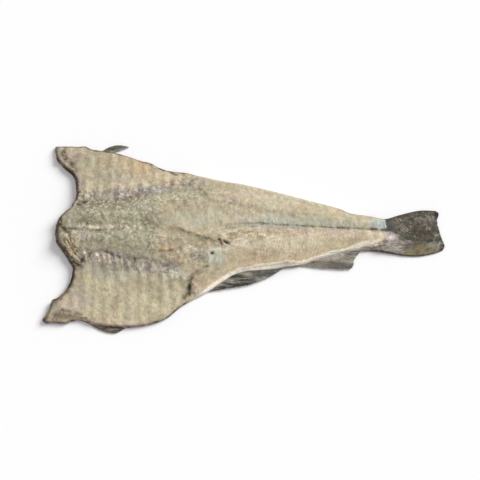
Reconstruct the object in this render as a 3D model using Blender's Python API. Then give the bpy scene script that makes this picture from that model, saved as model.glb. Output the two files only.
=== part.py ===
"""Wet-salted cod: headed, split along the belly and opened flat, flesh side up.

The fish is one solid. Two loins lie beside the middle line, a thin belly flap with rib ridges
lies outside each, and both run back into the tail stalk and the tail fin. Four fins that lie
under the edge are joined to it. The head end is at -X, the tail at +X, and the skin side
rests on the plane z = 0. Lengths in the tables below are millimetres.
"""

import bmesh
import bpy
import numpy as np

MM = 0.001

# ---- outline, seen from above -------------------------------------------------------------

# Cut front edge, from the upper shoulder corner round the nape to the lower shoulder corner.
FRONT_EDGE = (
    (-338.5, 167), (-336, 147), (-325.5, 131), (-304, 111), (-298, 89), (-299, 69),
    (-306.5, 53), (-317, 42.5), (-327.5, 31), (-331, 12), (-329.5, -8), (-322, -20.5),
    (-308, -41), (-299, -57), (-299.5, -76), (-307, -94), (-316, -105), (-323, -111),
    (-331, -115), (-335, -127), (-340, -139), (-347.5, -149.5),
)
# Upper edge, from the shoulder along the belly flap and the tail stalk to the tail's corner.
UPPER_EDGE = (
    (-338.5, 167), (-312, 167.2), (-298, 166.5), (-284, 167.3), (-277, 163), (-269, 161),
    (-252, 158.5), (-226, 153.5), (-198, 144.5), (-183, 139.5), (-169, 136.3), (-155, 128.5),
    (-141, 122.7), (-127, 120), (-98, 116.3), (-84, 112), (-36, 100), (-13, 96.5), (26, 87.5),
    (71, 76), (105, 67), (166, 50.5), (183, 43), (218, 37.8), (244, 33), (267, 39.3),
    (296, 46.8), (312, 48.6), (335, 47.3),
)
# Lower edge, from the lower shoulder along the rounder flap and the tail stalk to the tail.
LOWER_EDGE = (
    (-347.5, -149.5), (-341, -152.5), (-327, -152.2), (-308, -153.5), (-300, -149.8),
    (-289, -147.8), (-279, -148.8), (-266, -153.6), (-249, -156.5), (-207, -160), (-186, -159),
    (-160, -154), (-136, -144.5), (-112, -124.8), (-95, -114), (-70, -100.6), (-36, -78),
    (-18, -67.5), (2, -62), (22, -60.5), (68, -55.5), (94, -52), (120, -43), (147, -35),
    (173, -28), (192, -25.3), (220, -25.3), (251, -29.5), (277, -33.5), (303, -33.8),
    (331, -28.3), (344.5, -23),
)
# Rear margin of the tail fin, from its upper corner to its lower corner.
TAIL_MARGIN = (
    (335, 47.3), (339.5, 42), (336.5, 31), (338, 18), (341.5, 3), (347.4, -15), (344.5, -23),
)

# ---- what runs along the fish -------------------------------------------------------------

# The middle line between the two loins.
MIDDLE_LINE = ((-335, 10), (-223, 11), (-80, 14), (25, 18), (130, 14), (249, 9), (350, 6))
# How far the loins reach on each side of the middle line before the belly flap begins.
UPPER_LOIN = ((-350, 52), (-256, 54), (-168, 61), (-124, 68), (-70, 96))
LOWER_LOIN = ((-350, 37), (-253, 37), (-183, 54), (-113, 74), (-80, 112))
# Height of the loins above the skin side, from the nape to the end of the tail fin.
LOIN_HEIGHT = (
    (-335, 20), (-300, 24), (-240, 28), (-150, 31), (-40, 33), (60, 30), (140, 24),
    (200, 18), (240, 13), (262, 8.5), (285, 5), (320, 3.4), (350, 2.4),
)
# Height left at the very edge, before the side drops to the skin.
RIM_HEIGHT = ((-350, 3.0), (-100, 3.4), (0, 6.0), (190, 6.0), (250, 4.0), (290, 2.4), (350, 1.6))

FLAP_HEIGHT = 8.5          # belly flap, half way out
FLAP_LEAST_WIDTH = 30.0    # width over which even the narrow end of a flap thins out
LOIN_CREST = 0.42          # where a loin is highest, as a share of its width
LOIN_VALLEY = 0.74         # height at the middle line, as a share of the crest
LOIN_SHOULDER = 0.52       # height at the loin's outer side, as a share of the crest
EDGE_ROUND = 11.0          # how far in from the outline the edge is rounded
RIB_PITCH = 17.0           # distance between the rib ridges of the flaps
RIB_RELIEF = 0.5           # half the height of a rib ridge
RIB_SLANT = 0.35           # how far the ribs lean back for each step outwards

# The backbone is cut out of the front, and the cut ends in a slanting step.
CUT_START = (-118, 9)
CUT_END = (-31, -19)
CUT_DEPTH = 7.0
CUT_STEP = 11.0            # width of the step's slope
CUT_WIDTH = 40.0           # reach of the trough below the step
CUT_FADE = 60.0            # over which the trough runs out towards the nape

# The nape ends in a thick lump where the head was cut off.
NAPE_LUMP = (-312, 9)
NAPE_LUMP_REACH = (24, 32)
NAPE_LUMP_HEIGHT = 2.5

# ---- fins that lie under the edge ---------------------------------------------------------

# Each fin is a root line inside the body and an outer margin, both from front to rear.
FINS = {
    "first_anal_fin": {
        "root": ((-64, -86), (-18, -60), (30, -47), (62, -44)),
        "margin": ((-72, -99), (-27, -91), (-4, -88), (16, -82), (34, -75), (46, -69), (64, -56)),
    },
    "second_anal_fin": {
        "root": ((96, -42), (125, -33), (160, -25), (196, -20)),
        "margin": ((92, -52), (115, -54), (138, -56.5), (182, -57.5), (188, -51), (190, -41), (202, -24)),
    },
    "upper_pectoral_fin": {
        "root": ((-262, 150), (-245, 150), (-228, 146)),
        "margin": ((-258, 157), (-245, 165), (-232, 169.5), (-220, 169), (-209, 166)),
    },
    "lower_pectoral_fin": {
        "root": ((-270, -142), (-240, -150), (-204, -155)),
        "margin": ((-268, -152), (-250, -162), (-235, -168.5), (-219, -169.5), (-204, -160)),
    },
}
FIN_LIFT = 0.6             # underside of a fin above the resting plane
FIN_ROOT_THICK = 2.6
FIN_MARGIN_THICK = 1.4

# ---- mesh density -------------------------------------------------------------------------

CELLS_ALONG = 100
CELLS_ACROSS = 38
FRONT_DENSITY = 0.75       # share of the even spacing that the front columns keep
EDGE_DENSITY = 0.35        # how much closer the rows are at the two edges
FRONT_REACH = 0.30         # share of the length over which the front edge's shape dies away
TAIL_REACH = 0.12
FIN_CELLS_ALONG = 16
FIN_CELLS_OUT = 3
OUTLINE_STEPS = 24         # points on each stretch of a smooth outline

FLESH_COLOUR = (0.50, 0.44, 0.30, 1.0)
FLESH_ROUGHNESS = 0.55


def smooth_path(points, steps=OUTLINE_STEPS):
    """Points along a smooth curve through the given points."""
    knots = np.array(points, float)
    before = 2 * knots[0] - knots[1]
    after = 2 * knots[-1] - knots[-2]
    padded = np.vstack((before, knots, after))
    share = np.linspace(0, 1, steps, endpoint=False)[:, None]
    stretches = []
    for i in range(len(knots) - 1):
        a, b, c, d = padded[i:i + 4]
        reach = np.linalg.norm(c - b)
        leave = (c - a) * reach / max(np.linalg.norm(b - a) + reach, 1e-9)
        arrive = (d - b) * reach / max(np.linalg.norm(d - c) + reach, 1e-9)
        stretches.append(
            (2 * share**3 - 3 * share**2 + 1) * b + (share**3 - 2 * share**2 + share) * leave
            + (3 * share**2 - 2 * share**3) * c + (share**3 - share**2) * arrive
        )
    return np.vstack(stretches + [knots[-1:]])


def at_share(path, share):
    """Points at the given shares of a path's length."""
    steps = np.linalg.norm(np.diff(path, axis=0), axis=1)
    travelled = np.concatenate(([0], np.cumsum(steps))) / steps.sum()
    return np.stack([np.interp(share, travelled, path[:, i]) for i in (0, 1)], axis=-1)


def at_station(path, start_x, end_x, share):
    """Points of an edge at evenly spread stations along X."""
    x = start_x + (end_x - start_x) * share
    return np.stack((x, np.interp(x, path[:, 0], path[:, 1])), axis=-1)


def table(points, x):
    """Value of a two-column table at x, running smoothly between its rows."""
    path = smooth_path(points)
    return np.interp(x, path[:, 0], path[:, 1])


def ease(value):
    """Smooth step from 0 to 1."""
    value = np.clip(value, 0, 1)
    return value * value * (3 - 2 * value)


def outline():
    """The whole outline as one closed path."""
    front = smooth_path(FRONT_EDGE)
    lower = smooth_path(LOWER_EDGE)
    margin = smooth_path(TAIL_MARGIN)
    upper = smooth_path(UPPER_EDGE)
    return np.vstack((front, lower, margin[::-1], upper[::-1]))


def distance_to(path, points):
    """Distance from each point to the nearest point of a dense path."""
    gaps = [np.hypot(path[:, 0] - x, path[:, 1] - y).min() for x, y in points]
    return np.array(gaps)


def footprint(along, across):
    """Places on the outline's plan: along runs head to tail, across runs upper to lower edge."""
    upper_path, lower_path = smooth_path(UPPER_EDGE), smooth_path(LOWER_EDGE)
    upper = at_station(upper_path, UPPER_EDGE[0][0], UPPER_EDGE[-1][0], along)
    lower = at_station(lower_path, LOWER_EDGE[0][0], LOWER_EDGE[-1][0], along)
    share = across[:, None]
    plan = upper * (1 - share) + lower * share
    for end, edge, reach in ((0, FRONT_EDGE, FRONT_REACH), (1, TAIL_MARGIN, TAIL_REACH)):
        corners = np.array((edge[0], edge[-1]), float)
        straight = corners[0] * (1 - share) + corners[1] * share
        bulge = at_share(smooth_path(edge), across) - straight
        fade = np.clip(1 - np.abs(along - end) / reach, 0, 1) ** 2
        plan += bulge * fade[:, None]
    return plan


def edge_reach(x, middle, upper_side):
    """How far the outline is from the middle line, straight across the fish."""
    upper_path, lower_path = smooth_path(UPPER_EDGE), smooth_path(LOWER_EDGE)
    upper = np.interp(x, upper_path[:, 0], upper_path[:, 1]) - middle
    lower = middle - np.interp(x, lower_path[:, 0], lower_path[:, 1])
    return np.maximum(np.where(upper_side, upper, lower), 1)


def flesh_height(plan):
    """Height of the flesh side above the resting plane."""
    x, y = plan[:, 0], plan[:, 1]
    middle = table(MIDDLE_LINE, x)
    upper_side = y > middle
    out = np.abs(y - middle)
    edge = edge_reach(x, middle, upper_side)
    loin = np.where(upper_side, table(UPPER_LOIN, x), table(LOWER_LOIN, x))
    loin = np.minimum(loin, edge)

    crest = table(LOIN_HEIGHT, x)
    share = np.clip(out / loin, 0, 1)
    inner = LOIN_VALLEY + (1 - LOIN_VALLEY) * ease(share / LOIN_CREST)
    outer = 1 - (1 - LOIN_SHOULDER) * ease((share - LOIN_CREST) / (1 - LOIN_CREST))
    height = crest * np.where(share < LOIN_CREST, inner, outer)

    outward = np.clip((out - loin) / np.maximum(edge - loin, FLAP_LEAST_WIDTH), 0, 1)
    flap = crest * LOIN_SHOULDER * (1 - ease(2 * outward)) + FLAP_HEIGHT * ease(2 * outward)
    ridge = np.cos(2 * np.pi * (x - RIB_SLANT * (out - loin)) / RIB_PITCH)
    flap = flap + RIB_RELIEF * ridge * ease(3 * outward)
    height = np.where(out > loin, flap, height)

    height = height - CUT_DEPTH * cut_trough(x, y) + NAPE_LUMP_HEIGHT * nape_lump(x, y)
    rim = table(RIM_HEIGHT, x)
    inward = np.clip(distance_to(outline(), plan) / EDGE_ROUND, 0, 1)
    return rim + (height - rim) * np.sqrt(1 - (1 - inward) ** 2)


def cut_trough(x, y):
    """1 in the trough where the backbone was cut out, 0 outside it."""
    start, end = np.array(CUT_START, float), np.array(CUT_END, float)
    slope = (end[1] - start[1]) / (end[0] - start[0])
    below = start[1] + slope * (x - start[0]) - y
    across = ease(below / CUT_STEP) * ease((CUT_WIDTH - below) / (0.6 * CUT_WIDTH))
    lengthwise = ease((x - start[0] + CUT_FADE) / CUT_FADE) * ease((end[0] - x) / CUT_STEP)
    return across * lengthwise


def nape_lump(x, y):
    """1 on top of the nape's lump, falling away round it."""
    along = (x - NAPE_LUMP[0]) / NAPE_LUMP_REACH[0]
    across = (y - NAPE_LUMP[1]) / NAPE_LUMP_REACH[1]
    return np.exp(-(along**2 + across**2))


def material():
    """Pale salted flesh."""
    flesh = bpy.data.materials.new("flesh")
    flesh.use_nodes = True
    shader = flesh.node_tree.nodes["Principled BSDF"]
    shader.inputs["Base Color"].default_value = FLESH_COLOUR
    shader.inputs["Roughness"].default_value = FLESH_ROUGHNESS
    shader.inputs["Metallic"].default_value = 0.0
    return flesh


def place(verts, plan, height):
    """Moves a mesh's vertices to their places in plan and height, given in millimetres."""
    for vert, (x, y), z in zip(verts, plan, height):
        vert.co = (x * MM, y * MM, z * MM)


def add_object(mesh_data, name, collection):
    """Turns a finished bmesh into an object in a collection."""
    bmesh.ops.recalc_face_normals(mesh_data, faces=mesh_data.faces)
    mesh = bpy.data.meshes.new(name)
    mesh_data.to_mesh(mesh)
    mesh_data.free()
    obj = bpy.data.objects.new(name, mesh)
    collection.objects.link(obj)
    return obj


def grid_shares(verts):
    """Shares along and across of the vertices of a grid that spans -1 to 1 both ways."""
    corners = np.array([vert.co[:2] for vert in verts])
    return (corners[:, 0] + 1) / 2, (1 - corners[:, 1]) / 2


def body(collection):
    """The whole fish from the nape to the tail fin's margin, flat underneath."""
    mesh_data = bmesh.new()
    bmesh.ops.create_grid(mesh_data, x_segments=CELLS_ALONG, y_segments=CELLS_ACROSS, size=1)
    top = list(mesh_data.verts)
    along, across = grid_shares(top)
    along = along * (FRONT_DENSITY + (1 - FRONT_DENSITY) * along)
    across = across - EDGE_DENSITY / (2 * np.pi) * np.sin(2 * np.pi * across)
    plan = footprint(along, across)
    place(top, plan, flesh_height(plan))

    lower = bmesh.ops.extrude_face_region(mesh_data, geom=mesh_data.faces[:])["geom"]
    bottom = [item for item in lower if isinstance(item, bmesh.types.BMVert)]
    flat = set(bottom)
    for vert in bottom:
        vert.co.z = 0
    edges = [edge for edge in mesh_data.edges if flat.issuperset(edge.verts)]
    mesh_data.normal_update()
    bmesh.ops.dissolve_limit(mesh_data, angle_limit=0.001, verts=bottom, edges=edges)
    return add_object(mesh_data, "split_cod", collection)


def fin(name, shape, collection):
    """A thin fin between its root line and its margin, thickest at the root."""
    mesh_data = bmesh.new()
    bmesh.ops.create_grid(
        mesh_data, x_segments=FIN_CELLS_ALONG, y_segments=FIN_CELLS_OUT, size=1
    )
    top = list(mesh_data.verts)
    along, out = grid_shares(top)
    root = at_share(smooth_path(shape["root"]), along)
    margin = at_share(smooth_path(shape["margin"]), along)
    plan = root + (margin - root) * out[:, None]
    place(top, plan, FIN_LIFT + FIN_ROOT_THICK + (FIN_MARGIN_THICK - FIN_ROOT_THICK) * out)
    lower = bmesh.ops.extrude_face_region(mesh_data, geom=mesh_data.faces[:])["geom"]
    for item in lower:
        if isinstance(item, bmesh.types.BMVert):
            item.co.z = FIN_LIFT * MM
    piece = add_object(mesh_data, name, collection)
    piece.hide_render = True
    piece.display_type = "WIRE"
    return piece


def join(base, addition):
    """Joins one closed solid to another."""
    union = base.modifiers.new(addition.name, "BOOLEAN")
    union.operation = "UNION"
    union.solver = "EXACT"
    union.object = addition


def build():
    """Clears the scene and makes the fish."""
    for obj in list(bpy.data.objects):
        bpy.data.objects.remove(obj)
    parts = bpy.data.collections.new("wet_salted_cod")
    joined = bpy.data.collections.new("joined_shapes")
    for collection in (parts, joined):
        bpy.context.scene.collection.children.link(collection)
    cod = body(parts)
    cod.data.materials.append(material())
    cod.data.shade_smooth()
    for name, shape in FINS.items():
        join(cod, fin(name, shape, joined))


build()
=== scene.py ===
# %% [markdown]
# # A split wet-salted cod
#
# The fish lost its head, was slit along the belly, opened like a book and cured in coarse salt.
# It lies on its skin with the flesh up. This lesson builds its looks: the flesh with its ribs,
# flakes and cuts, the skin that shows round the edge, the tail fin, four small fins and the
# salt grains. Everything is placed on one solid fish that is loaded first and never changed.

# %% Load the solid fish as a fixed frame
import math
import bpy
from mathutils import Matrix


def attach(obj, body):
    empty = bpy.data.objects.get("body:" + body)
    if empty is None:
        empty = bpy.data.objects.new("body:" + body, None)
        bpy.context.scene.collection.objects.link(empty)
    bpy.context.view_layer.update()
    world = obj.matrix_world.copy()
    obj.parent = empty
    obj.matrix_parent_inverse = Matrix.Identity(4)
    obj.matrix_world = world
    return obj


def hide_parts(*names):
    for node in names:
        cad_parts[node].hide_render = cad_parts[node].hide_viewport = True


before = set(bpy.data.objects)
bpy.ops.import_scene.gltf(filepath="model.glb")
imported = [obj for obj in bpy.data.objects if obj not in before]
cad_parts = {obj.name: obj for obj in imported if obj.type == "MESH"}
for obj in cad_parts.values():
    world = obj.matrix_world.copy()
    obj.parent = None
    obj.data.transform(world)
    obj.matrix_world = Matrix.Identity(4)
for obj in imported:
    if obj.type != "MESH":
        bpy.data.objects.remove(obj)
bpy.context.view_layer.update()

from types import SimpleNamespace

import bmesh
import bpy
import numpy as np
from mathutils import Euler, Matrix, Vector
from mathutils.kdtree import KDTree

SOLID = "split_cod"
MM = 0.001

# %% [markdown]
# ## The outline
#
# Seen from above, the fish is a long wedge. The head end is at -X and the tail at +X. Four
# curves bound it, each drawn through a few listed places in millimetres. They are the
# same curves that the solid fish was made from, so the looks and the solid share one shape.

# %% Outline and lengthwise tables, in millimetres
FRONT_EDGE = (
    (-338.5, 167), (-336, 147), (-325.5, 131), (-304, 111), (-298, 89), (-299, 69),
    (-306.5, 53), (-317, 42.5), (-327.5, 31), (-331, 12), (-329.5, -8), (-322, -20.5),
    (-308, -41), (-299, -57), (-299.5, -76), (-307, -94), (-316, -105), (-323, -111),
    (-331, -115), (-335, -127), (-340, -139), (-347.5, -149.5),
)
UPPER_EDGE = (
    (-338.5, 167), (-312, 167.2), (-298, 166.5), (-284, 167.3), (-277, 163), (-269, 161),
    (-252, 158.5), (-226, 153.5), (-198, 144.5), (-183, 139.5), (-169, 136.3), (-155, 128.5),
    (-141, 122.7), (-127, 120), (-98, 116.3), (-84, 112), (-36, 100), (-13, 96.5), (26, 87.5),
    (71, 76), (105, 67), (166, 50.5), (183, 43), (218, 37.8), (244, 33), (267, 39.3),
    (296, 46.8), (312, 48.6), (335, 47.3),
)
LOWER_EDGE = (
    (-347.5, -149.5), (-341, -152.5), (-327, -152.2), (-308, -153.5), (-300, -149.8),
    (-289, -147.8), (-279, -148.8), (-266, -153.6), (-249, -156.5), (-207, -160), (-186, -159),
    (-160, -154), (-136, -144.5), (-112, -124.8), (-95, -114), (-70, -100.6), (-36, -78),
    (-18, -67.5), (2, -62), (22, -60.5), (68, -55.5), (94, -52), (120, -43), (147, -35),
    (173, -28), (192, -25.3), (220, -25.3), (251, -29.5), (277, -33.5), (303, -33.8),
    (331, -28.3), (344.5, -23),
)
TAIL_MARGIN = (
    (335, 47.3), (339.5, 42), (336.5, 31), (338, 18), (341.5, 3), (347.4, -15), (344.5, -23),
)
MIDDLE_LINE = ((-335, 10), (-223, 10), (-80, 14), (25, 17.5), (130, 13), (243, 9.5), (350, 6))
UPPER_LOIN = ((-350, 52), (-256, 54), (-168, 61), (-124, 68), (-70, 96))
LOWER_LOIN = ((-350, 37), (-253, 37), (-183, 54), (-113, 74), (-80, 112))
LOIN_HEIGHT = (
    (-335, 20), (-300, 24), (-240, 28), (-150, 31), (-40, 33), (60, 30), (140, 24),
    (200, 18), (240, 13), (262, 8.5), (285, 5), (320, 3.4), (350, 2.4),
)

# %% Curves, soft steps and waves
OUTLINE_STEPS = 60         # points on each stretch of a curve


def smooth_path(points, steps=OUTLINE_STEPS):
    """Points along a smooth curve through the given points."""
    knots = np.array(points, float)
    padded = np.vstack((2 * knots[0] - knots[1], knots, 2 * knots[-1] - knots[-2]))
    share = np.linspace(0, 1, steps, endpoint=False)[:, None]
    stretches = []
    for i in range(len(knots) - 1):
        a, b, c, d = padded[i:i + 4]
        reach = np.linalg.norm(c - b)
        leave = (c - a) * reach / max(np.linalg.norm(b - a) + reach, 1e-9)
        arrive = (d - b) * reach / max(np.linalg.norm(d - c) + reach, 1e-9)
        stretches.append(
            (2 * share**3 - 3 * share**2 + 1) * b + (share**3 - 2 * share**2 + share) * leave
            + (3 * share**2 - 2 * share**3) * c + (share**3 - share**2) * arrive
        )
    return np.vstack(stretches + [knots[-1:]])


def at_share(path, share):
    """Points at the given shares of a path's length."""
    steps = np.linalg.norm(np.diff(path, axis=0), axis=1)
    travelled = np.concatenate(([0], np.cumsum(steps))) / steps.sum()
    return np.stack([np.interp(share, travelled, path[:, i]) for i in (0, 1)], axis=-1)


def at_station(path, share):
    """Points of an edge at evenly spread stations along X."""
    x = path[0, 0] + (path[-1, 0] - path[0, 0]) * share
    return np.stack((x, np.interp(x, path[:, 0], path[:, 1])), axis=-1)


def table(points, x):
    """Value of a two-column table at x, running smoothly between its rows."""
    path = smooth_path(points, 8)
    return np.interp(x, path[:, 0], path[:, 1])


def ease(value):
    """Smooth step from 0 to 1."""
    value = np.clip(value, 0, 1)
    return value * value * (3 - 2 * value)


def soft(value, low, high):
    """0 below low, 1 above high and a smooth step between them."""
    return ease((value - low) / (high - low))


def bell(value, width=1.0):
    """1 at 0, fading out to both sides over a width."""
    return np.exp(-(value / width)**2)


def wave(value, pitch=1.0):
    """1 at whole multiples of the pitch and -1 halfway between them."""
    return np.cos(2 * np.pi * value / pitch)


def strongest(*parts):
    """The highest of several numbers at each place."""
    return np.maximum.reduce(parts)


front_path, upper_path = smooth_path(FRONT_EDGE), smooth_path(UPPER_EDGE)
lower_path, margin_path = smooth_path(LOWER_EDGE), smooth_path(TAIL_MARGIN)
whole_outline = np.vstack((front_path, lower_path, margin_path[::-1], upper_path[::-1]))
print("outline points:", len(whole_outline))

# %% [markdown]
# ## Unevenness
#
# Nothing on a salted fish is even. One helper gives smooth random lumps of any size: random
# numbers on the crossings of a square net, blended between them. Every use names its own
# seed, so the fish comes out the same each time.

# %% Smooth random lumps
NET = 199                  # crossings of the random net each way, after which it repeats


def lumps(x, y, size, seed, layers=1):
    """Smooth random unevenness from about -1 to 1, with lumps about size across."""
    total, weight = np.zeros(np.shape(x)), 0.0
    for layer in range(layers):
        net = np.random.default_rng(seed * 10 + layer).uniform(-1, 1, (NET, NET))
        u, v = x / size * 2**layer + 40.3, y / size * 2**layer + 40.7
        i, j = np.floor(u).astype(int), np.floor(v).astype(int)
        s, t = ease(u - i), ease(v - j)
        near = net[i % NET, j % NET] * (1 - s) + net[(i + 1) % NET, j % NET] * s
        far = net[i % NET, (j + 1) % NET] * (1 - s) + net[(i + 1) % NET, (j + 1) % NET] * s
        total = total + (near * (1 - t) + far * t) / 2**layer
        weight += 1 / 2**layer
    return total / weight * 1.4


def nearest(path, x, y):
    """Distance from each place to the nearest point of a dense path."""
    tree = KDTree(len(path))
    for index, (px, py) in enumerate(path):
        tree.insert((px, py, 0), index)
    tree.balance()
    return np.array([tree.find((px, py, 0))[2] for px, py in zip(x, y)])


def is_inside(border, x, y):
    """Whether each place lies inside a closed border: a line from it crosses the border oddly."""
    corners = border[::12]
    inside = np.zeros(np.shape(x), bool)
    for (ax, ay), (bx, by) in zip(corners, np.roll(corners, -1, axis=0)):
        if ay != by:
            crosses = (ay > y) != (by > y)
            inside ^= crosses & (x < ax + (y - ay) * (bx - ax) / (by - ay))
    return inside


def arc(share):
    """Height of a quarter circle: 0 at share 0, rising steeply, level at 1."""
    return np.sqrt(1 - (1 - np.clip(share, 0, 1))**2)


def ragged(path, amount, size, seed, axis=1):
    """A path with a slightly torn, wavy edge: its points pushed to and fro along one axis."""
    torn = path.copy()
    other = path[:, 1 - axis]
    torn[:, axis] += amount * lumps(other, other * 0, size, seed, 2)
    return torn


# %% [markdown]
# ## Where things are on the fish
#
# Most of the shape is told by a few distances: how far a place is from the middle line, how
# far the thick loin reaches there, and how far the outer edge is. They are worked out once
# for all places and shared by every relief and colour below.

# %% Distances that tell the shape
FLESH_INSET_FRONT = 1.2
FLESH_INSET_UPPER = ((-350, 1.2), (-60, 1.4), (200, 1.6), (250, 1.6))
FLESH_INSET_LOWER = (      # the width of the belly skin that shows outside the flesh
    (-350, 1.3), (-115, 1.4), (-92, 2.2), (-70, 5.2), (-53, 7.5), (-36, 7.0), (-18, 6.4), (2, 5.2),
    (22, 7.4), (45, 8.2), (68, 9.6), (94, 6.2), (120, 4.6), (147, 6.0), (173, 5.2), (192, 7.6),
    (216, 9.0),
)
FLESH_END = (
    (243, 31.6), (244.5, 22), (244, 12), (241.5, 7), (244.5, 1.5), (243, -4.5), (238.5, -9),
    (231.5, -12.8), (224, -15), (216, -16.3),
)
RIM_HEIGHT = (
    (-350, 6.0), (-300, 6.0), (-260, 5.0), (-100, 4.6), (0, 6.0), (190, 6.0), (250, 4.0),
    (290, 2.4), (350, 1.6),
)
# How far in from the outline the form is rounded off, along the upper and the lower edge.
EDGE_ROUND_UPPER = ((-350, 7), (-250, 9), (250, 9), (300, 11), (350, 11))
EDGE_ROUND_LOWER = ((-350, 7), (-250, 9), (-115, 10), (-75, 14), (190, 13), (240, 9), (350, 11))
SKIN_ROUND = 3.0
SKIN_EDGE_TOP = 2.1        # height of the skin at the very outline


def until(path, end_x):
    """The part of an edge in front of a station."""
    kept = path[path[:, 0] < end_x]
    return np.vstack((kept, (end_x, np.interp(end_x, path[:, 0], path[:, 1]))))


def edges_to(end):
    """The upper and the lower edge as far as the two ends of a rear border."""
    return until(upper_path, end[0][0]), until(lower_path, end[-1][0])


def flesh_outline():
    """Front, upper, lower and rear border of the flesh, a little inside the skin."""
    front = ragged(front_path + (FLESH_INSET_FRONT, 0), 0.9, 9, 11, axis=0)
    upper, lower = edges_to(FLESH_END)
    upper[:, 1] -= table(FLESH_INSET_UPPER, upper[:, 0])
    lower[:, 1] += table(FLESH_INSET_LOWER, lower[:, 0])
    rear = ragged(smooth_path(FLESH_END), 1.0, 6, 14, axis=0)
    lower = ragged(ragged(lower, 0.7, 9, 13), 0.5, 3.5, 15)
    return front, ragged(upper, 0.5, 11, 12), lower, rear


flesh_front, flesh_upper, flesh_lower, flesh_rear = flesh_outline()
flesh_border = np.vstack((flesh_front, flesh_lower, flesh_rear[::-1], flesh_upper[::-1]))


def survey(x, y):
    """Every distance that the relief and the colours need, for arrays of places."""
    s = SimpleNamespace(x=x, y=y)
    s.middle = table(MIDDLE_LINE, x)
    s.upper = y > s.middle
    s.out = np.abs(y - s.middle)
    above = np.interp(x, upper_path[:, 0], upper_path[:, 1]) - s.middle
    below = s.middle - np.interp(x, lower_path[:, 0], lower_path[:, 1])
    s.edge = np.maximum(np.where(s.upper, above, below), 1)
    s.loin = np.minimum(np.where(s.upper, table(UPPER_LOIN, x), table(LOWER_LOIN, x)), s.edge)
    s.beyond = s.out - s.loin
    s.share = np.clip(s.out / s.loin, 0, 1)
    s.flap = soft(s.beyond, 0, 14) * soft(s.edge - s.loin, 4, 22)
    s.to_front = nearest(flesh_front, x, y)
    s.to_side = np.minimum(s.to_front, nearest(np.vstack((flesh_upper, flesh_lower)), x, y))
    s.to_rear = nearest(flesh_rear, x, y)
    s.to_border = np.minimum(s.to_side, s.to_rear)
    s.in_flesh = s.to_border * np.where(is_inside(flesh_border, x, y), 1, -1)
    s.to_outline = nearest(whole_outline, x, y)
    s.rear = soft(x, -60, 0)
    return s


# %% [markdown]
# ## The form of the flesh
#
# First the large form, the same as the solid's: two loins with a valley between them, thin
# flaps outside, the trough where the backbone was cut away, and the lump of the nape. On top
# of it come the things that make it fish: rib ridges, flakes, cuts and torn grooves.

# %% Large form
FLAP_HEIGHT = 8.5
LOIN_CREST = 0.42
LOIN_VALLEY = 0.74
REAR_VALLEY_FILL = 0.13
LOIN_SHOULDER = 0.52
REAR_SHOULDER_FILL = 0.08
LOIN_SIDE_BULGE = 1.6      # above 1 keeps the loin high until close to the groove
NAPE_RISE = 2.0
FRONT_FALL = 7.0
COLLAR_ROLL = (            # how far the collar's edge has curled up, by place across the fish
    (-160, 1.5), (-125, 3.2), (-70, 3.6), (-40, 2.0), (5, 1.2), (38, 1.6), (62, 3.4), (120, 3.4),
    (140, 1.8), (170, 1.2),
)
CUT_LINE = (
    (-190, 13), (-150, 12), (-117, 10), (-105, 6), (-93, 1.5), (-79, -2.5), (-65, -6.5),
    (-53, -11.5), (-42, -14), (-29, -21),
)
CUT_DEPTH = 4.0
CUT_WIDTH = 40.0


def body_form(s):
    """Loins, valley and flaps."""
    crest = table(LOIN_HEIGHT, s.x)
    share = s.share
    valley = LOIN_VALLEY + REAR_VALLEY_FILL * s.rear
    inner = valley + (1 - valley) * ease(share / LOIN_CREST)
    shoulder = LOIN_SHOULDER + REAR_SHOULDER_FILL * s.rear
    fall = ease((share - LOIN_CREST) / (1 - LOIN_CREST))**(1 + (LOIN_SIDE_BULGE - 1) * (1 - s.rear))
    outer = 1 - (1 - shoulder) * fall
    loin = crest * np.where(share < LOIN_CREST, inner, outer)
    outward = 2 * np.clip(s.beyond / np.maximum(s.edge - s.loin, 30), 0, 1)
    flap = crest * shoulder * (1 - ease(outward)) + FLAP_HEIGHT * ease(outward)
    nape = bell(np.hypot((s.x + 305) / 20, (s.y - 5) / 32))
    front = bell(np.hypot((s.x + 337) / 16, (s.y - 5) / 45))
    return np.where(s.beyond > 0, flap, loin) + NAPE_RISE * nape - FRONT_FALL * front


def shell(s, form):
    """A form rounded off towards the outline, with a low strip of skin along the belly."""
    rim = table(RIM_HEIGHT, s.x)
    reach = np.where(s.upper, table(EDGE_ROUND_UPPER, s.x), table(EDGE_ROUND_LOWER, s.x))
    strip = np.maximum(table(FLESH_INSET_LOWER, s.x) - 1.4, 0) * soft(235 - s.x, 0, 25)
    inward = np.maximum(s.to_outline - np.where(s.upper, 0, strip), 0) / reach
    gentle = soft(s.x, -115, -75) * soft(235 - s.x, 0, 25) * ~s.upper
    rise = arc(inward) * (1 - gentle) + np.sin(np.pi / 2 * np.clip(inward, 0, 1)) * gentle
    rounded = rim + np.maximum(form - rim, 0) * rise
    return rounded - (rim - SKIN_EDGE_TOP) * (1 - arc(s.to_outline / SKIN_ROUND))


def cut_away(s):
    """How far a place lies below the cut's line, and how deep inside the trough it is."""
    line = table(CUT_LINE, s.x) + 2.4 * lumps(s.x, s.y * 0, 6, 21, 2)
    below = line - s.y
    step = 5 + 7 * soft(-s.x, 45, 110)
    across = soft(below, -1, step) * soft(CUT_WIDTH - below, 0, 24)
    lengthwise = soft(s.x, -185, -110) * soft(-16 - s.x, 0, 12 + 0.7 * np.clip(below, 0, 30))
    return below, across * lengthwise


# %% [markdown]
# Ribs press into the thin flaps from inside: each leaves a soft ridge that starts at the
# groove beside the loin, slants towards the tail and then turns straight out to the edge.
# Towards the tail the flesh shows its flakes instead, thin leaves that meet the middle line
# like the bones of a herringbone pattern.

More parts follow.
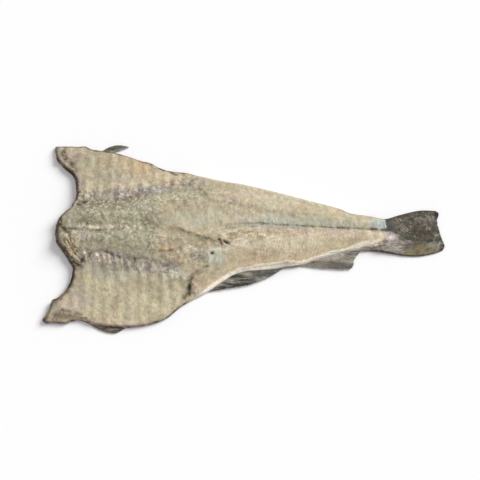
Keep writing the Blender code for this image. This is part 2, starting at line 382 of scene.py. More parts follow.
# %% Ribs and flakes
RIB_PITCH = 19.6
RIB_LEAN = 11.0            # how far a rib has leaned towards the tail when it turns straight
RIB_HEIGHT = 0.8
FLAKE_PITCH = 4.6
FLAKE_HEIGHT = 0.22


def rib_wave(s):
    """1 on a rib ridge and -1 between two ridges."""
    straight = 1 - np.exp(-np.maximum(s.beyond + 6, 0) / 20)
    wander = 2.0 * lumps(s.x, s.y, 30, 31, 2)
    return wave(s.x + RIB_LEAN * (1 - straight) + wander, RIB_PITCH)


def flake_wave(s):
    """1 on a flake's edge and -1 in the gap behind it."""
    lean = np.where(s.upper, 0.75, 0.28) * s.out
    wander = 1.8 * lumps(s.x, s.y, 13, 32, 2)
    return wave(s.x + lean + wander, FLAKE_PITCH)


def near_line(points, x, y, width, wobble=0.0, seed=1):
    """1 on a drawn line, fading out over its width."""
    gap = nearest(smooth_path(points, 30), x, y)
    return bell(gap + wobble * lumps(x, y, 6, seed, 2), width)


# %% [markdown]
# The crevices are drawn as lines: the slit along the nape, the two torn grooves beside the
# loins, the cut at the end of the lower flap, the dark seam that runs on to the tail.

# %% Crevices
SLIT = ((-312, 11.5), (-300, 10.5), (-285, 9.3), (-262, 7.2), (-240, 8.6), (-212, 9.6))
UPPER_GROOVE = ((-296, 61), (-284, 60), (-262, 60), (-224, 62), (-186, 67), (-160, 70))
LOWER_GROOVE = (
    (-274, -38), (-268, -31.5), (-258, -28.5), (-242, -29.5), (-229, -34.5), (-213, -39),
    (-197, -41.5), (-177, -42), (-164, -45), (-147, -51), (-126, -61),
)
NAPE_CRACK = ((-322, -20), (-311, -31), (-302, -41), (-293, -51), (-286, -46), (-274, -38))
NAPE_NOTCH = ((-329, 24), (-320, 16.5), (-312, 8), (-304, 2))
FLAP_END = ((-66, -58), (-81, -66), (-91, -72.5), (-95, -80), (-96.5, -94), (-104, -109))
SEAM = (
    (-33, 16.8), (25, 17.5), (60, 16), (94, 14.3), (130, 13), (164, 12), (205, 10.8), (243, 10.2),
)
HOLES = (                  # place, reach along and across, and lean of each dark hole
    (-34, -16.5, 6.2, 2.1, -0.6), (-46, -11.5, 3.6, 1.7, -0.2), (-58, -35.5, 2.6, 2.2, 0),
    (-96, -88, 1.6, 4.5, 0), (-284, 60.5, 5.2, 2.4, 0), (-292, 56, 4.5, 2.2, 0.4),
)
TORN_LOOP = (
    (-55, -15), (-48, -14.5), (-41.5, -18), (-41.5, -23), (-48, -24.5), (-54, -20.5), (-55, -15),
)
UPPER_NICK = ((-134, 117), (-127, 113), (-121, 112))
# Each crevice: depth, line, width, wobble and its seed, the share of the depth that it keeps
# all along, and the size, seed and share of the stretches that gape to the full depth.
CREVICES = {
    "slit": (2.4, SLIT, 1.5, 0.7, 42, 0.6, 11, 52, 0.6),
    "upper": (1.6, UPPER_GROOVE, 2.4, 3.0, 43, 0.0, 9, 53, 0.4),
    "lower": (2.4, LOWER_GROOVE, 2.5, 2.2, 44, 0.5, 7, 54, 0.6),
    "nape": (3.0, NAPE_CRACK, 2.4, 3.0, 45, 0.3, 8, 55, 0.7),
    "notch": (2.4, NAPE_NOTCH, 2.0, 1.5, 98, 0.4, 6, 99, 0.7),
    "flap_end": (2.6, FLAP_END, 2.6, 2.6, 46, 0.4, 7, 56, 0.7),
    "loop": (1.4, TORN_LOOP, 1.2, 0.8, 38, 0.4, 5, 39, 0.6),
    "seam": (1.6, SEAM, 1.6, 1.5, 48, 0.7, 12, 58, 0.6),
}
NICK_DEPTH = 1.4
HOLE_DEPTH = 5.0
FLAP_END_NEAR = 1.2 / 2.6  # the share of its depth that the flap's end cut has near the loin


def torn(s, size, seed, share=0.5):
    """1 where a crevice gapes and 0 where it has closed, changing along its length."""
    return soft(lumps(s.x, s.y, size, seed, 2), 0.45 - 0.9 * share, 0.95 - 0.9 * share)


def crevices(s):
    """Depth of each crevice in millimetres, by name."""
    x, y = s.x, s.y
    deep = {}
    for name, (depth, line, width, wobble, seed, always, *tear) in CREVICES.items():
        gape = always + (1 - always) * torn(s, *tear)
        deep[name] = depth * near_line(line, x, y, width, wobble, seed) * gape
    deep["nape"] = np.maximum(deep["nape"], deep.pop("notch"))
    deep["lower"] *= 0.3 + 0.7 * soft(-168 - x, 0, 30)
    deep["flap_end"] *= soft(-y, 66, 80) + FLAP_END_NEAR * soft(y, -80, -66)
    deep["seam"] *= (
        0.35 + 0.45 * soft(x, -18, 12) + 0.20 * soft(x, 60, 90) * soft(170 - x, 0, 30)
        + 0.5 * soft(x, 212, 226)
    )
    deep["nick"] = NICK_DEPTH * near_line(UPPER_NICK, x, y, 1.8, 0.8, 47)
    deep["holes"] = HOLE_DEPTH * strongest(*(
        bell(np.hypot((x - hx) / rx, (y - hy - lean * (x - hx)) / ry))
        for hx, hy, rx, ry, lean in HOLES
    ))
    return deep


# %% [markdown]
# Finally the salt-bitten surface. The front between the loins is rough and grainy, the strip
# beside the cut is almost smooth, and the flaps are only gently wavy.

# %% Surface roughness by place
CUT_LIP = 0.6              # height of the lip above the cut
CRUST_RIDGES = 1.3


def spot(s, x, y, reach_x, reach_y, soften=0.7):
    """1 inside a soft, slightly irregular oval place and 0 outside it."""
    wx = s.x + 0.16 * reach_x * lumps(s.x, s.y, 14, 51, 2)
    wy = s.y + 0.30 * reach_y * lumps(s.x, s.y, 14, 50, 2)
    r = np.hypot((wx - x) / reach_x, (wy - y) / reach_y)
    return 1 - soft(r, 1 - soften, 1 + 0.3 * soften)


def graininess(s):
    """How rough and salt-bitten each place is, from 0 to 1."""
    front = soft(-150 - s.x, -25, 25) * soft(s.loin * 1.12 - s.out, 0, 9)
    front = front * np.where(s.y < 6, 0.72, 1)
    middle = 0.75 * spot(s, -105, 72, 62, 26) + 0.65 * spot(s, -110, -38, 70, 34)
    bands = 0.7 * soft(28 - s.beyond, 0, 14) * soft(s.beyond, -8, 2) * soft(-60 - s.x, 0, 40)
    smooth = spot(s, -97, 27, 60, 15, 0.5)
    rough = np.clip(np.maximum(np.maximum(front, middle), bands) + 0.25, 0, 1)
    return rough * (1 - 0.85 * smooth)


def nape_crust(s):
    """Where the dried crust of the nape is, and its slanting ridges from -1 to 1."""
    along, across = (s.x - s.y) / 1.4, (s.x + s.y) / 1.4
    ridge = 1 - 2.6 * np.abs(lumps(along * 0.45, across, 4.6, 65, 2))
    return spot(s, -305, -23, 21, 27, 0.5), ridge


def rib_strength(s):
    """Ribs stand out where they leave the groove and fade towards the edge."""
    return s.flap * (0.5 + 0.5 * bell(np.maximum(s.beyond, 0), 22))


def collar_roll(s):
    """Height of the curled edge of the collar."""
    return table(COLLAR_ROLL, s.y) * bell(s.to_front - 3.4, 3.4)


def flesh_top(s):
    """Height of the flesh surface above the table, with all its relief."""
    form = body_form(s)
    below, trough = cut_away(s)
    form -= CUT_DEPTH * trough
    lip = bell(below + 2.4, 2.6) * soft(s.x, -140, -100) * soft(-31 - s.x, 0, 6)
    form += CUT_LIP * lip + RIB_HEIGHT * rib_wave(s) * rib_strength(s)
    form += FLAKE_HEIGHT * flake_wave(s) * s.rear * soft(s.out, 2, 8)
    rough = graininess(s)
    form += (0.8 * lumps(s.x, s.y, 8.0, 61, 2) + 0.45 * lumps(s.x, s.y, 4.5, 62)) * rough
    form += 0.9 * lumps(s.x, s.y, 38, 63, 2) + 0.45 * lumps(s.x, s.y, 10, 64, 2)
    crust, ridge = nape_crust(s)
    form += CRUST_RIDGES * crust * ridge
    for depth in crevices(s).values():
        form -= depth
    height = shell(s, form)
    height -= 0.8 * (1 - ease(s.to_side / 2.0))
    height += 0.5 * (1 - ease(s.to_rear / 6.0)) - 0.5 * (1 - arc(s.to_rear / 0.9))
    return np.maximum(height + collar_roll(s), 2.2)


# %% [markdown]
# ## Building a slab
#
# Flesh, skin and fins are all thin slabs with a shape of their own above and below, so one
# maker serves them all. It starts from a grid, extrudes the whole face region downwards so
# that the slab is closed, and then moves the two layers of vertices to the places that a
# shape function gives for each vertex's share along and across the piece.

# %% Slab maker
def patch_plan(along, across, sides, front_reach=0.3, rear_reach=0.12):
    """Places inside four border paths: front, upper, lower and rear."""
    front, upper, lower, rear = sides
    share = across[:, None]
    plan = at_station(upper, along) * (1 - share) + at_station(lower, along) * share
    for end, edge, reach in ((0, front, front_reach), (1, rear, rear_reach)):
        straight = edge[0] * (1 - share) + edge[-1] * share
        fade = np.clip(1 - np.abs(along - end) / reach, 0, 1)**2
        plan += (at_share(edge, across) - straight) * fade[:, None]
    return plan[:, 0], plan[:, 1]


def closer_at_ends(share, density):
    """Shares moved towards both ends of the range."""
    return share - density / (2 * np.pi) * np.sin(2 * np.pi * share)


def closer_at_start(share, density):
    """Shares moved towards the start of the range."""
    return share * (density + (1 - density) * share)


def placed(name, data):
    """A new object in the scene, at the origin."""
    made = bpy.data.objects.new(name, data)
    bpy.context.scene.collection.objects.link(made)
    return made


def finished(bm, name):
    """Turns a finished bmesh into a smooth-shaded object at the origin."""
    mesh = bpy.data.meshes.new(name)
    bm.to_mesh(mesh)
    bm.free()
    piece = placed(name, mesh)
    mesh.shade_smooth()
    mesh.calc_loop_triangles()
    print(name, "triangles:", len(mesh.loop_triangles))
    return piece


def slab(name, cells, shape, flat_underside=False):
    """A closed slab. shape(along, across) gives x, y, top and underside in millimetres."""
    bm = bmesh.new()
    bmesh.ops.create_grid(bm, x_segments=cells[0], y_segments=cells[1], size=1)
    along = bm.verts.layers.float.new("along")
    across = bm.verts.layers.float.new("across")
    top = list(bm.verts)
    for vert in top:
        vert[along], vert[across] = (vert.co.x + 1) / 2, (1 - vert.co.y) / 2
    grown = bmesh.ops.extrude_face_region(bm, geom=bm.faces[:])["geom"]
    under = [item for item in grown if isinstance(item, bmesh.types.BMVert)]
    for verts, level in ((top, 2), (under, 3)):
        shares = np.array([(vert[along], vert[across]) for vert in verts])
        made = shape(shares[:, 0], shares[:, 1])
        for vert, x, y, z in zip(verts, made[0] * MM, made[1] * MM, made[level] * MM):
            vert.co = (x, y, z)
    if flat_underside:
        below = [item for item in grown if isinstance(item, bmesh.types.BMFace)]
        bmesh.ops.delete(bm, geom=below, context="FACES")
        rim = [edge for edge in bm.edges if edge.is_boundary]
        bmesh.ops.contextual_create(bm, geom=rim)
    bmesh.ops.recalc_face_normals(bm, faces=bm.faces)
    return finished(bm, name)


def places_of(piece):
    """Places of a piece's vertices, in millimetres."""
    flat = np.empty(len(piece.data.vertices) * 3)
    piece.data.vertices.foreach_get("co", flat)
    return flat.reshape(-1, 3).T / MM


def layer_values(piece, name):
    """Values of a number stored on a piece's vertices."""
    values = np.empty(len(piece.data.vertices))
    piece.data.attributes[name].data.foreach_get("value", values)
    return values


def paint(piece, masks):
    """Stores masks on a piece's vertices for its material to read."""
    for name, values in masks.items():
        layer = piece.data.attributes.new(name, "FLOAT", "POINT")
        layer.data.foreach_set("value", np.clip(values, -1, 1).astype(np.float32))


def belongs(piece, material):
    """Makes a piece part of the fish: it rides on its body and stands for the solid."""
    piece.data.materials.append(material)
    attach(piece, "root")
    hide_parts(SOLID)
    return piece


# %% Flesh mesh
FLESH_CELLS = (430, 190)
FLESH_UNDERSIDE = 1.4


def flesh_shape(along, across):
    """Places and heights of the flesh slab."""
    along, across = closer_at_start(along, 0.78), closer_at_ends(across, 0.35)
    x, y = patch_plan(along, across, (flesh_front, flesh_upper, flesh_lower, flesh_rear))
    return x, y, flesh_top(survey(x, y)), np.full(len(x), FLESH_UNDERSIDE)


flesh = slab("cod_flesh", FLESH_CELLS, flesh_shape, flat_underside=True)

# %% [markdown]
# ## Colour by place
#
# Cured cod is straw-coloured, but no two places match: grey-green and grainy between the
# front loins, a grey film beside the grooves, warm orange at the thin upper flap, rosy along
# the middle, a bluish patch of film at the tail. Each of these is a mask on the vertices,
# made from soft ovals and distances, and the material mixes its colours by them.

# %% Painted light and shade against the lamp
LAMP_FROM = Vector((1.6, 1.15, 1.25))
LAMP_SHARE = 0.56          # the part of the light that comes straight from the lamp
PAINTED_EVENING = 0.62             # how much of the large form's shading the painted light and shade undo


def painted_evening(x, y):
    """Painted light and shade: lightens slopes turned from the lamp and darkens lit ones, so the
    large form looks flatter.
    """
    def smooth_top(px, py):
        s = survey(px, py)
        return shell(s, body_form(s) - CUT_DEPTH * cut_away(s)[1]) + collar_roll(s)

    lamp = LAMP_FROM.normalized()
    here = smooth_top(x, y)
    slope_x, slope_y = smooth_top(x + 1, y) - here, smooth_top(x, y + 1) - here
    upright = 1 / np.sqrt(1 + slope_x**2 + slope_y**2)
    facing = (lamp.z - slope_x * lamp.x - slope_y * lamp.y) * upright / lamp.z
    light = (1 - LAMP_SHARE) * (0.5 + 0.5 * upright) + LAMP_SHARE * np.maximum(facing, 0)
    return np.clip(light, 0.3, 2)**-PAINTED_EVENING - 1


# %% [markdown]
# A tint that has a place of its own is written as a row of numbers: how strong, where, and how
# far it reaches. Soft ovals make films and stains; drawn lines make folds, lips and cracks.

# %% Soft ovals and drawn lines
def ovals(s, rows):
    """The strongest of several soft ovals at each place."""
    return strongest(*(strength * spot(s, *oval) for strength, *oval in rows))


def drawn(s, rows):
    """The strongest of several drawn lines at each place."""
    return strongest(*(
        strength * near_line(line, s.x, s.y, *rest) for strength, line, *rest in rows
    ))


# %% Where each tint of the flesh lies
# Each oval: strength, x, y, reach along and across, and its softness where it is unusual.
FLESH_OVALS = {
    "olive": (
        (0.55, -95, 72, 60, 24), (0.6, 182, 16, 40, 8), (0.35, -150, -85, 60, 22),
        (0.4, 80, 28, 120, 10), (0.5, -275, 138, 22, 14), (0.35, -245, 112, 64, 9),
    ),
    "grey": (
        (0.45, 48, 18, 70, 7), (0.6, 226, 34, 16, 5), (0.5, -90, 92, 40, 14),
        (0.35, -301, 147, 18, 17), (0.32, -252, 104, 66, 10), (0.55, -292, -106, 34, 26),
        (0.5, -325, -135, 22, 16), (0.9, -276, -6, 17, 10), (0.7, -78, -36, 22, 16),
        (0.35, 60, 32, 80, 9), (0.9, -262, -46, 34, 14),
    ),
    "warm": (
        (0.95, -188, 125, 34, 17), (0.45, -140, 104, 34, 12), (0.9, -136, -25, 18, 7),
        (0.6, -72, -80, 20, 12), (0.25, 120, 42, 60, 12), (0.4, -205, 135, 60, 14),
    ),
    "pink": (
        (0.9, -24, 60, 13, 9), (0.35, -278, -2, 16, 9), (0.8, 25, 9, 22, 5),
        (0.75, 120, -1, 90, 8), (0.95, 168, 3, 62, 8), (0.8, -82, -90, 10, 13),
        (0.4, -205, 92, 46, 9), (0.5, -166, 26, 14, 14), (0.5, 20, 75, 40, 8),
        (0.6, -305, -118, 30, 14), (0.6, -302, 152, 22, 12), (0.8, -200, -156, 60, 5),
    ),
    "pale": (
        (0.35, -24, 36, 28, 20), (0.4, -138, 108, 16, 8), (0.5, 210, 25, 12, 5),
        (0.3, 10, 32, 60, 11), (0.35, 60, -20, 110, 16), (0.22, -138, 112, 34, 14),
        (0.5, 216, -14, 18, 6), (0.35, -120, -72, 24, 8), (0.4, 238, 0, 9, 8),
    ),
    "blue": ((0.5, -50, -44, 20, 19), (0.42, 85, 17, 120, 9), (0.35, -226, -62, 62, 15)),
    "film": (
        (0.8, 60, 27, 95, 10), (0.8, -92, 25, 62, 17, 0.4), (0.5, 160, 22, 60, 7),
        (0.6, -232, 14, 60, 5), (0.55, -48, -46, 18, 18), (0.85, -114, -69, 20, 9),
    ),
    "crust": (
        (0.38, -204, 66, 26, 12), (0.46, -252, 52, 62, 12), (0.5, -298, 57, 10, 14),
        (0.2, -54, -72, 14, 9), (0.42, -212, -55, 56, 14), (0.42, -112, -14, 52, 12),
        (0.7, -256, 161, 24, 6), (0.22, -150, 22, 22, 9), (0.25, -76, -40, 20, 14),
        (0.5, -304, 122, 16, 10), (0.2, -296, 146, 26, 18), (0.7, -312, -140, 28, 11),
        (0.9, -293, -50, 17, 15, 0.4), (0.45, -299, -36, 9, 20), (0.6, -284, -42, 20, 11),
        (0.6, -280, 20, 16, 9), (0.35, -100, -18, 22, 9), (0.3, -122, -52, 26, 7),
        (0.4, -168, 24, 12, 12), (0.9, -97, -96, 7, 16), (0.3, -50, -20, 18, 8),
    ),
    "slate": (
        (0.9, -333, 151, 9, 17, 0.5), (0.8, -331, -121, 8, 10, 0.5), (0.5, -342, -140, 8, 12, 0.5),
    ),
    "gap": ((0.8, -344, -146, 8, 8, 0.6),),
    "worms": ((1.0, 2, -10, 80, 28, 0.5), (0.8, 40, 0, 110, 12)),
}
# Each drawn line: strength, points, width, and the size and seed of its wobble.
FLESH_LINES = {
    "pink": (
        (1.0, ((-285, 14.6), (-264, 13.8), (-231, 13.4)), 2.6), (0.8, SEAM[:2], 3.0, 2.0, 48),
    ),
    "pale": (
        (0.8, ((-62, -30), (-54, -29), (-46, -28), (-36, -27), (-27, -21)), 3.2, 3.0, 75),
        (0.5, ((-62, -27), (-64, -33), (-60, -40)), 2.6, 2.0, 37),
    ),
    "crust": (
        (0.6, FLAP_END, 4.0, 3.0, 46), (0.8, NAPE_NOTCH, 3.0, 1.5, 98),
        (0.7, ((-313, -130), (-296, -134), (-280, -139)), 3.4, 1.5, 94),
        (0.75, ((-149, -30), (-137, -31), (-125, -29.5)), 2.0, 1.2, 35),
    ),
    "gap": (
        (0.7, NAPE_NOTCH, 3.4, 1.5, 98), (0.6, ((219, 9.3), (244, 8.0)), 1.4),
        (0.6, ((-300, -140), (-279, -143), (-266, -150)), 2.2, 1.5, 77),
    ),
}
COLLAR_DRYING_AND_SHADE = (            # how dark the dried collar is and how strong the painted shade beside it is, by place across the fish
    (-152, 0.5), (-135, 0.35), (-118, 0.4), (-98, 0.6), (-78, 0.9), (-60, 1.0), (-40, 1.0), (-5, 1.0),
    (25, 1.0), (38, 0.7), (52, 0.8), (70, 1.0), (124, 0.95), (134, 0.4), (166, 0.2),
)
SLIT_LIP = ((-318, 16), (-300, 15.6), (-264, 13.8), (-234, 13.6), (-205, 13.4))
EAR_FOLD = ((-324, 158), (-320, 146), (-312, 136), (-305, 126))
RUST = ((-33, 57), (-12, 54), (6, 46))
FIBRE_PITCH = 10.5


def pale_fibres(s):
    """Pale fibres that cross the grooves beside the front loins."""
    bow = 11 * (1 - np.exp(-np.maximum(s.beyond + 2, 0) / 10))
    fibres = wave(s.x - bow + 2.4 * lumps(s.x, s.y, 9, 89, 2), FIBRE_PITCH)
    place = soft(s.beyond, 0, 4) * soft(28 - s.beyond, 0, 16) * soft(s.x, -290, -278)
    place = place * soft(-160 - s.x, 0, 70) * (0.5 + 0.5 * torn(s, 8, 88, 0.7))
    return place * soft(fibres, 0.3, 0.95)


def flake_bands(s):
    """Fine bands beside the seam, closer together towards the tail."""
    wander = 0.25 * s.y + 2.2 * lumps(s.x, s.y, 9, 100, 2)
    pitch = np.interp(s.x, (60, 220), (8.8, 5.6))
    return wave(s.x + wander, pitch) * spot(s, 128, 3, 112, 9)


# %% [markdown]
# Other tints follow the form: the film lies along the grooves, the collar dries dark from the
# front edge inwards, and the lower edge keeps a pale rim of belly skin. Here they join the
# ovals and lines of the same name; the strongest wins at each place.

# %% Colour masks of the flesh
def flesh_masks(x, y):
    """Masks from 0 to 1 for each tint of the flesh, and the rib bands from -1 to 1."""
    s = survey(x, y)
    w = survey(x + 5 * lumps(x, y, 20, 71, 2), y + 4 * lumps(x, y, 16, 72, 2))
    fine, coarse = lumps(x, y, 6, 73, 2), lumps(x, y, 18, 74, 2)
    lower = ~w.upper
    m = {name: ovals(s, rows) for name, rows in FLESH_OVALS.items()}

    def add(name, *parts):
        m[name] = strongest(m[name], *parts)

    for name, rows in FLESH_LINES.items():
        add(name, drawn(s, rows))

    # Films, broad tints and the painted shade in the bays beside the collar.
    upper_film = w.upper * soft(w.beyond, -7, 3) * soft(25 - w.beyond, 0, 12)
    lower_film = lower * soft(w.beyond, -12, 2) * soft(28 - w.beyond, 0, 16)
    collar = table(COLLAR_DRYING_AND_SHADE, y)
    collar_shade = soft(15 - s.to_front, 0, 11) * (x < -265) * collar
    rust = near_line(RUST, x, y, 7.0, 2, 78) * torn(s, 4.0, 80, 0.55)
    add("olive", soft(-148 - w.x, -22, 20) * soft(w.loin * 1.02 - w.out, -2, 8))
    add(
        "grey", upper_film * soft(-100 - x, 0, 50) * soft(x, -292, -258), 0.8 * collar_shade,
        lower_film * soft(-96 - x + 0.5 * (y + 60), 0, 30) * soft(x, -302, -284),
    )
    add("warm", 0.26 * s.rear * lower * soft(s.out, 2, 12))
    add("pink", 0.9 * rust)
    add("blue", soft(x, 215, 221) * soft(y + 1.2 * fine, 10, 13) * soft(30.5 - y, 0, 3))
    m["grey"] *= 0.85 + 0.25 * coarse
    m["warm"] *= np.clip(0.8 + 0.4 * coarse, 0, 1.2)
    m["pink"] *= np.clip(0.8 + 0.5 * fine, 0, 1.2)
    m["worms"] *= lower

    # Pale rims, rib heads and fibres.
    crust_place, ridge = nape_crust(s)
    rib_heads = lower * soft(s.beyond, -8, 0) * soft(26 - s.beyond, 0, 18) * soft(x, -284, -268)
    rib_heads = rib_heads * soft(-190 - x, 0, 60) * torn(s, 5, 59, 0.7)
    rim_reach = 3.0 + 0.8 * fine + 2.4 * soft(x, 176, 196) + 1.8 * soft(x, 192, 206)
    rim_lower = lower * soft(x, -76, -56) * soft(240 - x, 0, 16)
    rim_rear = 0.12 * soft(x, 212, 222) * soft(-6 - y, 0, 6)
    add(
        "pale", rim_lower * soft(rim_reach - s.to_border, 0, 1.4),
        rim_rear * soft(2.4 - s.to_rear, 0, 1.4), 0.15 * spot(s, 30, 62, 110, 24) * s.rear,
        0.5 * near_line(SLIT_LIP, x, y, 2.3, 0.8, 90) * (0.75 + 0.3 * fine),
        0.38 * crust_place * soft(ridge, 0.4, 0.9), 0.3 * rib_heads * soft(rib_wave(s), 0.0, 0.9),
        pale_fibres(s) * np.where(lower, 1, 0.35),
    )

    # Dried crust and dark gaps, with painted shade beside the collar, along the lower flap's edge, in
    # the crevices and at the foot of the cut.
    below, trough = cut_away(s)
    deep = crevices(s)
    collar_edge = collar * (x < -280)
    reach = 5.4 + 2.4 * fine + 2.6 * soft(48 - np.abs(y + 2), 0, 26)
    upper_rim = w.upper * soft(-88 - x, 0, 30) * soft(x, -340, -334) * soft(3.2 - s.to_side, 0, 1.6)
    # Dark brown along the lower flap's edge: dried crust and painted shade of the edge.
    flap_edge_crust_and_shade = lower * soft(-104 - x, 0, 10) * soft(2.2 - s.to_border, 0, 1.2)
    # Painted shade at the foot of the cut's step.
    foot = below - 1.0 - 1.6 * lumps(x, y, 4.5, 60, 2)
    cut_foot_shade = bell(foot, 2.5) * soft(x, -140, -110) * soft(-38 - x, 0, 4)
    m["ochre"] = crust_place * np.clip(0.85 + 0.5 * fine, 0, 1)
    add(
        "crust", collar_edge * soft(reach - s.to_front, -2.2, 2.2), 0.33 * collar_shade,
        0.8 * flap_edge_crust_and_shade * (0.5 + 0.5 * coarse), upper_rim * (0.8 + 0.4 * fine), 0.5 * rust,
        0.16 * upper_film * soft(-150 - x, 0, 60),
        0.9 * near_line(EAR_FOLD, x, y, 6.0, 4.0, 36) * np.clip(0.8 + 0.8 * fine, 0, 1),
        0.7 * spot(s, -283, -146, 32, 5) * np.clip(0.7 + 0.8 * fine, 0, 1),
        0.35 * trough * np.clip(0.6 + 0.7 * coarse, 0, 1),
    )
    # The gap mask grows darker the deeper each crevice and hole is: their dark matter with painted
    # shade in the recesses.
    add(
        "gap", deep["slit"] / 2.4, 0.75 * deep["upper"] / 1.6, deep["lower"] / 2.4,
        0.9 * deep["nape"] / 3.0, 0.85 * deep["flap_end"] / 2.6, 0.6 * deep["nick"] / NICK_DEPTH,
        deep["seam"] / 1.6, deep["holes"] / 4.0, 0.75 * deep["loop"] / 1.4,
        collar_edge * soft(0.6 * reach - s.to_front, -1.0, 1.2),
        0.9 * cut_foot_shade * (0.45 + 0.55 * torn(s, 6, 57, 0.6)),
        0.5 * crust_place * soft(-ridge, 0.0, 0.5),
    )

    # Painted light and shade against the lamp, and what the fine pattern needs.
    m["lift"], m["grain"] = painted_evening(x, y), graininess(s)
    m["bands"] = rib_wave(s) * rib_strength(s) * (0.75 + 0.5 * fine) + 0.9 * flake_bands(s)
    m["bands"] += 0.35 * flake_wave(s) * s.rear * soft(s.out, 2, 8)
    return m


flesh_x, flesh_y, flesh_z = places_of(flesh)
masks = flesh_masks(flesh_x, flesh_y)
paint(flesh, masks)
print("flesh height, mm:", round(flesh_z.min(), 1), "to", round(flesh_z.max(), 1))
print("mean of each mask:", {name: round(float(v.mean()), 2) for name, v in masks.items()})

# %% [markdown]
# ## Writing materials as arithmetic
#
# A material is a network of nodes, but its maths reads best as plain expressions. The class
# below wraps one output socket. Adding or multiplying two wires adds the Math node for it,
# and one method makes any other node.

# %% Wires
def feed(tree, entry, value):
    """Links a wire to a socket, or writes a plain number or colour on it."""
    if isinstance(value, Wire):
        tree.links.new(value.socket, entry)
    else:
        entry.default_value = value


class Wire:
    """An output socket that can be used in expressions."""

    def __init__(self, tree, socket):
        self.tree, self.socket = tree, socket

    def node(self, kind, settings=None, values=None, output=0):
        """Any node: its settings are set first, then its sockets are fed."""
        made = self.tree.nodes.new(kind)
        for name, value in (settings or {}).items():
            setattr(made, name, value)
        for name, value in (values or {}).items():
            feed(self.tree, made.inputs[name], value)
        return Wire(self.tree, made.outputs[output])

    def math(self, operation, a, b, clamp=False):
        settings = {"operation": operation, "use_clamp": clamp}
        return self.node("ShaderNodeMath", settings, {0: a, 1: b})

    def __add__(self, other):
        return self.math("ADD", self, other)

    def __sub__(self, other):
        return self.math("SUBTRACT", self, other)

    def __mul__(self, other):
        return self.math("MULTIPLY", self, other)

    def __rsub__(self, other):
        return self.math("SUBTRACT", other, self)

    __radd__, __rmul__ = __add__, __mul__

    def clamped(self):
        """Kept between 0 and 1."""
        return self.math("ADD", self, 0.0, clamp=True)

    def step(self, low, high):
        """0 below low, 1 above high, smooth between."""
        settings = {"interpolation_type": "SMOOTHSTEP"}
        values = {"Value": self, "From Min": low, "From Max": high}
        return self.node("ShaderNodeMapRange", settings, values)

    def attribute(self, name):
        """A mask painted on the piece."""
        return self.node("ShaderNodeAttribute", {"attribute_name": name}, output=2)

    def noise(self, size, detail=2.0, rough=0.5, stretch=None, bend=0.0, output=0):
        """Cloudy noise with lumps about size millimetres across."""
        place = self if stretch is None else self.stretched(*stretch)
        values = {
            "Vector": place, "Scale": 1 / (size * MM), "Detail": detail, "Roughness": rough,
            "Distortion": bend,
        }
        return self.node("ShaderNodeTexNoise", None, values, output)

    def cells(self, size):
        """Distance to the nearest of scattered points about size millimetres apart."""
        return self.node("ShaderNodeTexVoronoi", None, {"Vector": self, "Scale": 1 / (size * MM)})

    def stretched(self, factors, turn=0.0):
        """Coordinates turned about the vertical axis and stretched along each axis."""
        values = {"Vector": self, "Scale": factors, "Rotation": (0, 0, math.radians(turn))}
        return self.node("ShaderNodeMapping", None, values)

    def mix(self, other, factor):
        """This colour blended towards another."""
        return blend(self.tree, factor, self, other)

    def tinted(self, masks, tints, broken):
        """This colour under several tints, each laid on by the mask of its name."""
        colour = self
        for name, tint in tints.items():
            colour = colour.mix(tint, (masks[name] * broken).clamped())
        return colour

    def scaled(self, factor):
        """This colour times a number that varies over the surface."""
        return self.node("ShaderNodeVectorMath", {"operation": "SCALE"}, {0: self, "Scale": factor})

    def times(self, colour):
        """This colour times another, channel by channel."""
        return self.node("ShaderNodeVectorMath", {"operation": "MULTIPLY"}, {0: self, 1: colour})

    def shifted(self, factor, offset):
        """This colour times one number plus another, the same for each channel."""
        values = {0: self, 1: (factor,) * 3, 2: (offset,) * 3}
        return self.node("ShaderNodeVectorMath", {"operation": "MULTIPLY_ADD"}, values)

    def bump(self, height, distance, strength=1.0):
        """The surface's normal bent by a height, with the given depth in millimetres."""
        values = {"Height": height, "Distance": distance * MM, "Strength": strength}
        return self.node("ShaderNodeBump", None, values)


def blend(tree, factor, first, second):
    """A colour between two colours."""
    settings = {"data_type": "RGBA", "clamp_factor": True}
    return Wire(tree, None).node("ShaderNodeMix", settings, {0: factor, 6: first, 7: second}, 2)


def new_material(name, masks=(), **constants):
    """A material, its main shader with constants set, its Object coordinates and its masks."""
    material = bpy.data.materials.new(name)
    material.use_nodes = True
    tree = material.node_tree
    shader = tree.nodes["Principled BSDF"]
    for socket, value in constants.items():
        shader.inputs[socket.replace("_", " ")].default_value = value
    place = Wire(tree, tree.nodes.new("ShaderNodeTexCoord").outputs["Object"])
    return material, shader, place, {mask: place.attribute(mask) for mask in masks}


def connect(shader, **sockets):
    """Feeds the shader's varying sockets."""
    for name, wire in sockets.items():
        feed(wire.tree, shader.inputs[name.replace("_", " ")], wire)


def flecked(place, colour, amount, size=7.0, hue=0.19):
    """Uneven brightness by an amount that may vary, and slightly uneven hue."""
    tone = place.noise(size, 2, 0.7, bend=0.6) - 0.5
    patchy = colour.scaled(1 + tone * amount)
    return patchy.times(place.noise(10, 1, output=1).shifted(hue, 1 - hue / 2))


# %% [markdown]
# ## Flesh material
#
# Straw-coloured flesh first, then each tint by its mask, broken up by noise so that no
# border is clean. The salt-bitten places get light and dark flecks of two sizes, as fine as
# the grains. The crevices go dark brown last, partly their dark matter and partly painted
# shade in the recesses. Cured flesh is matt with a damp gleam.

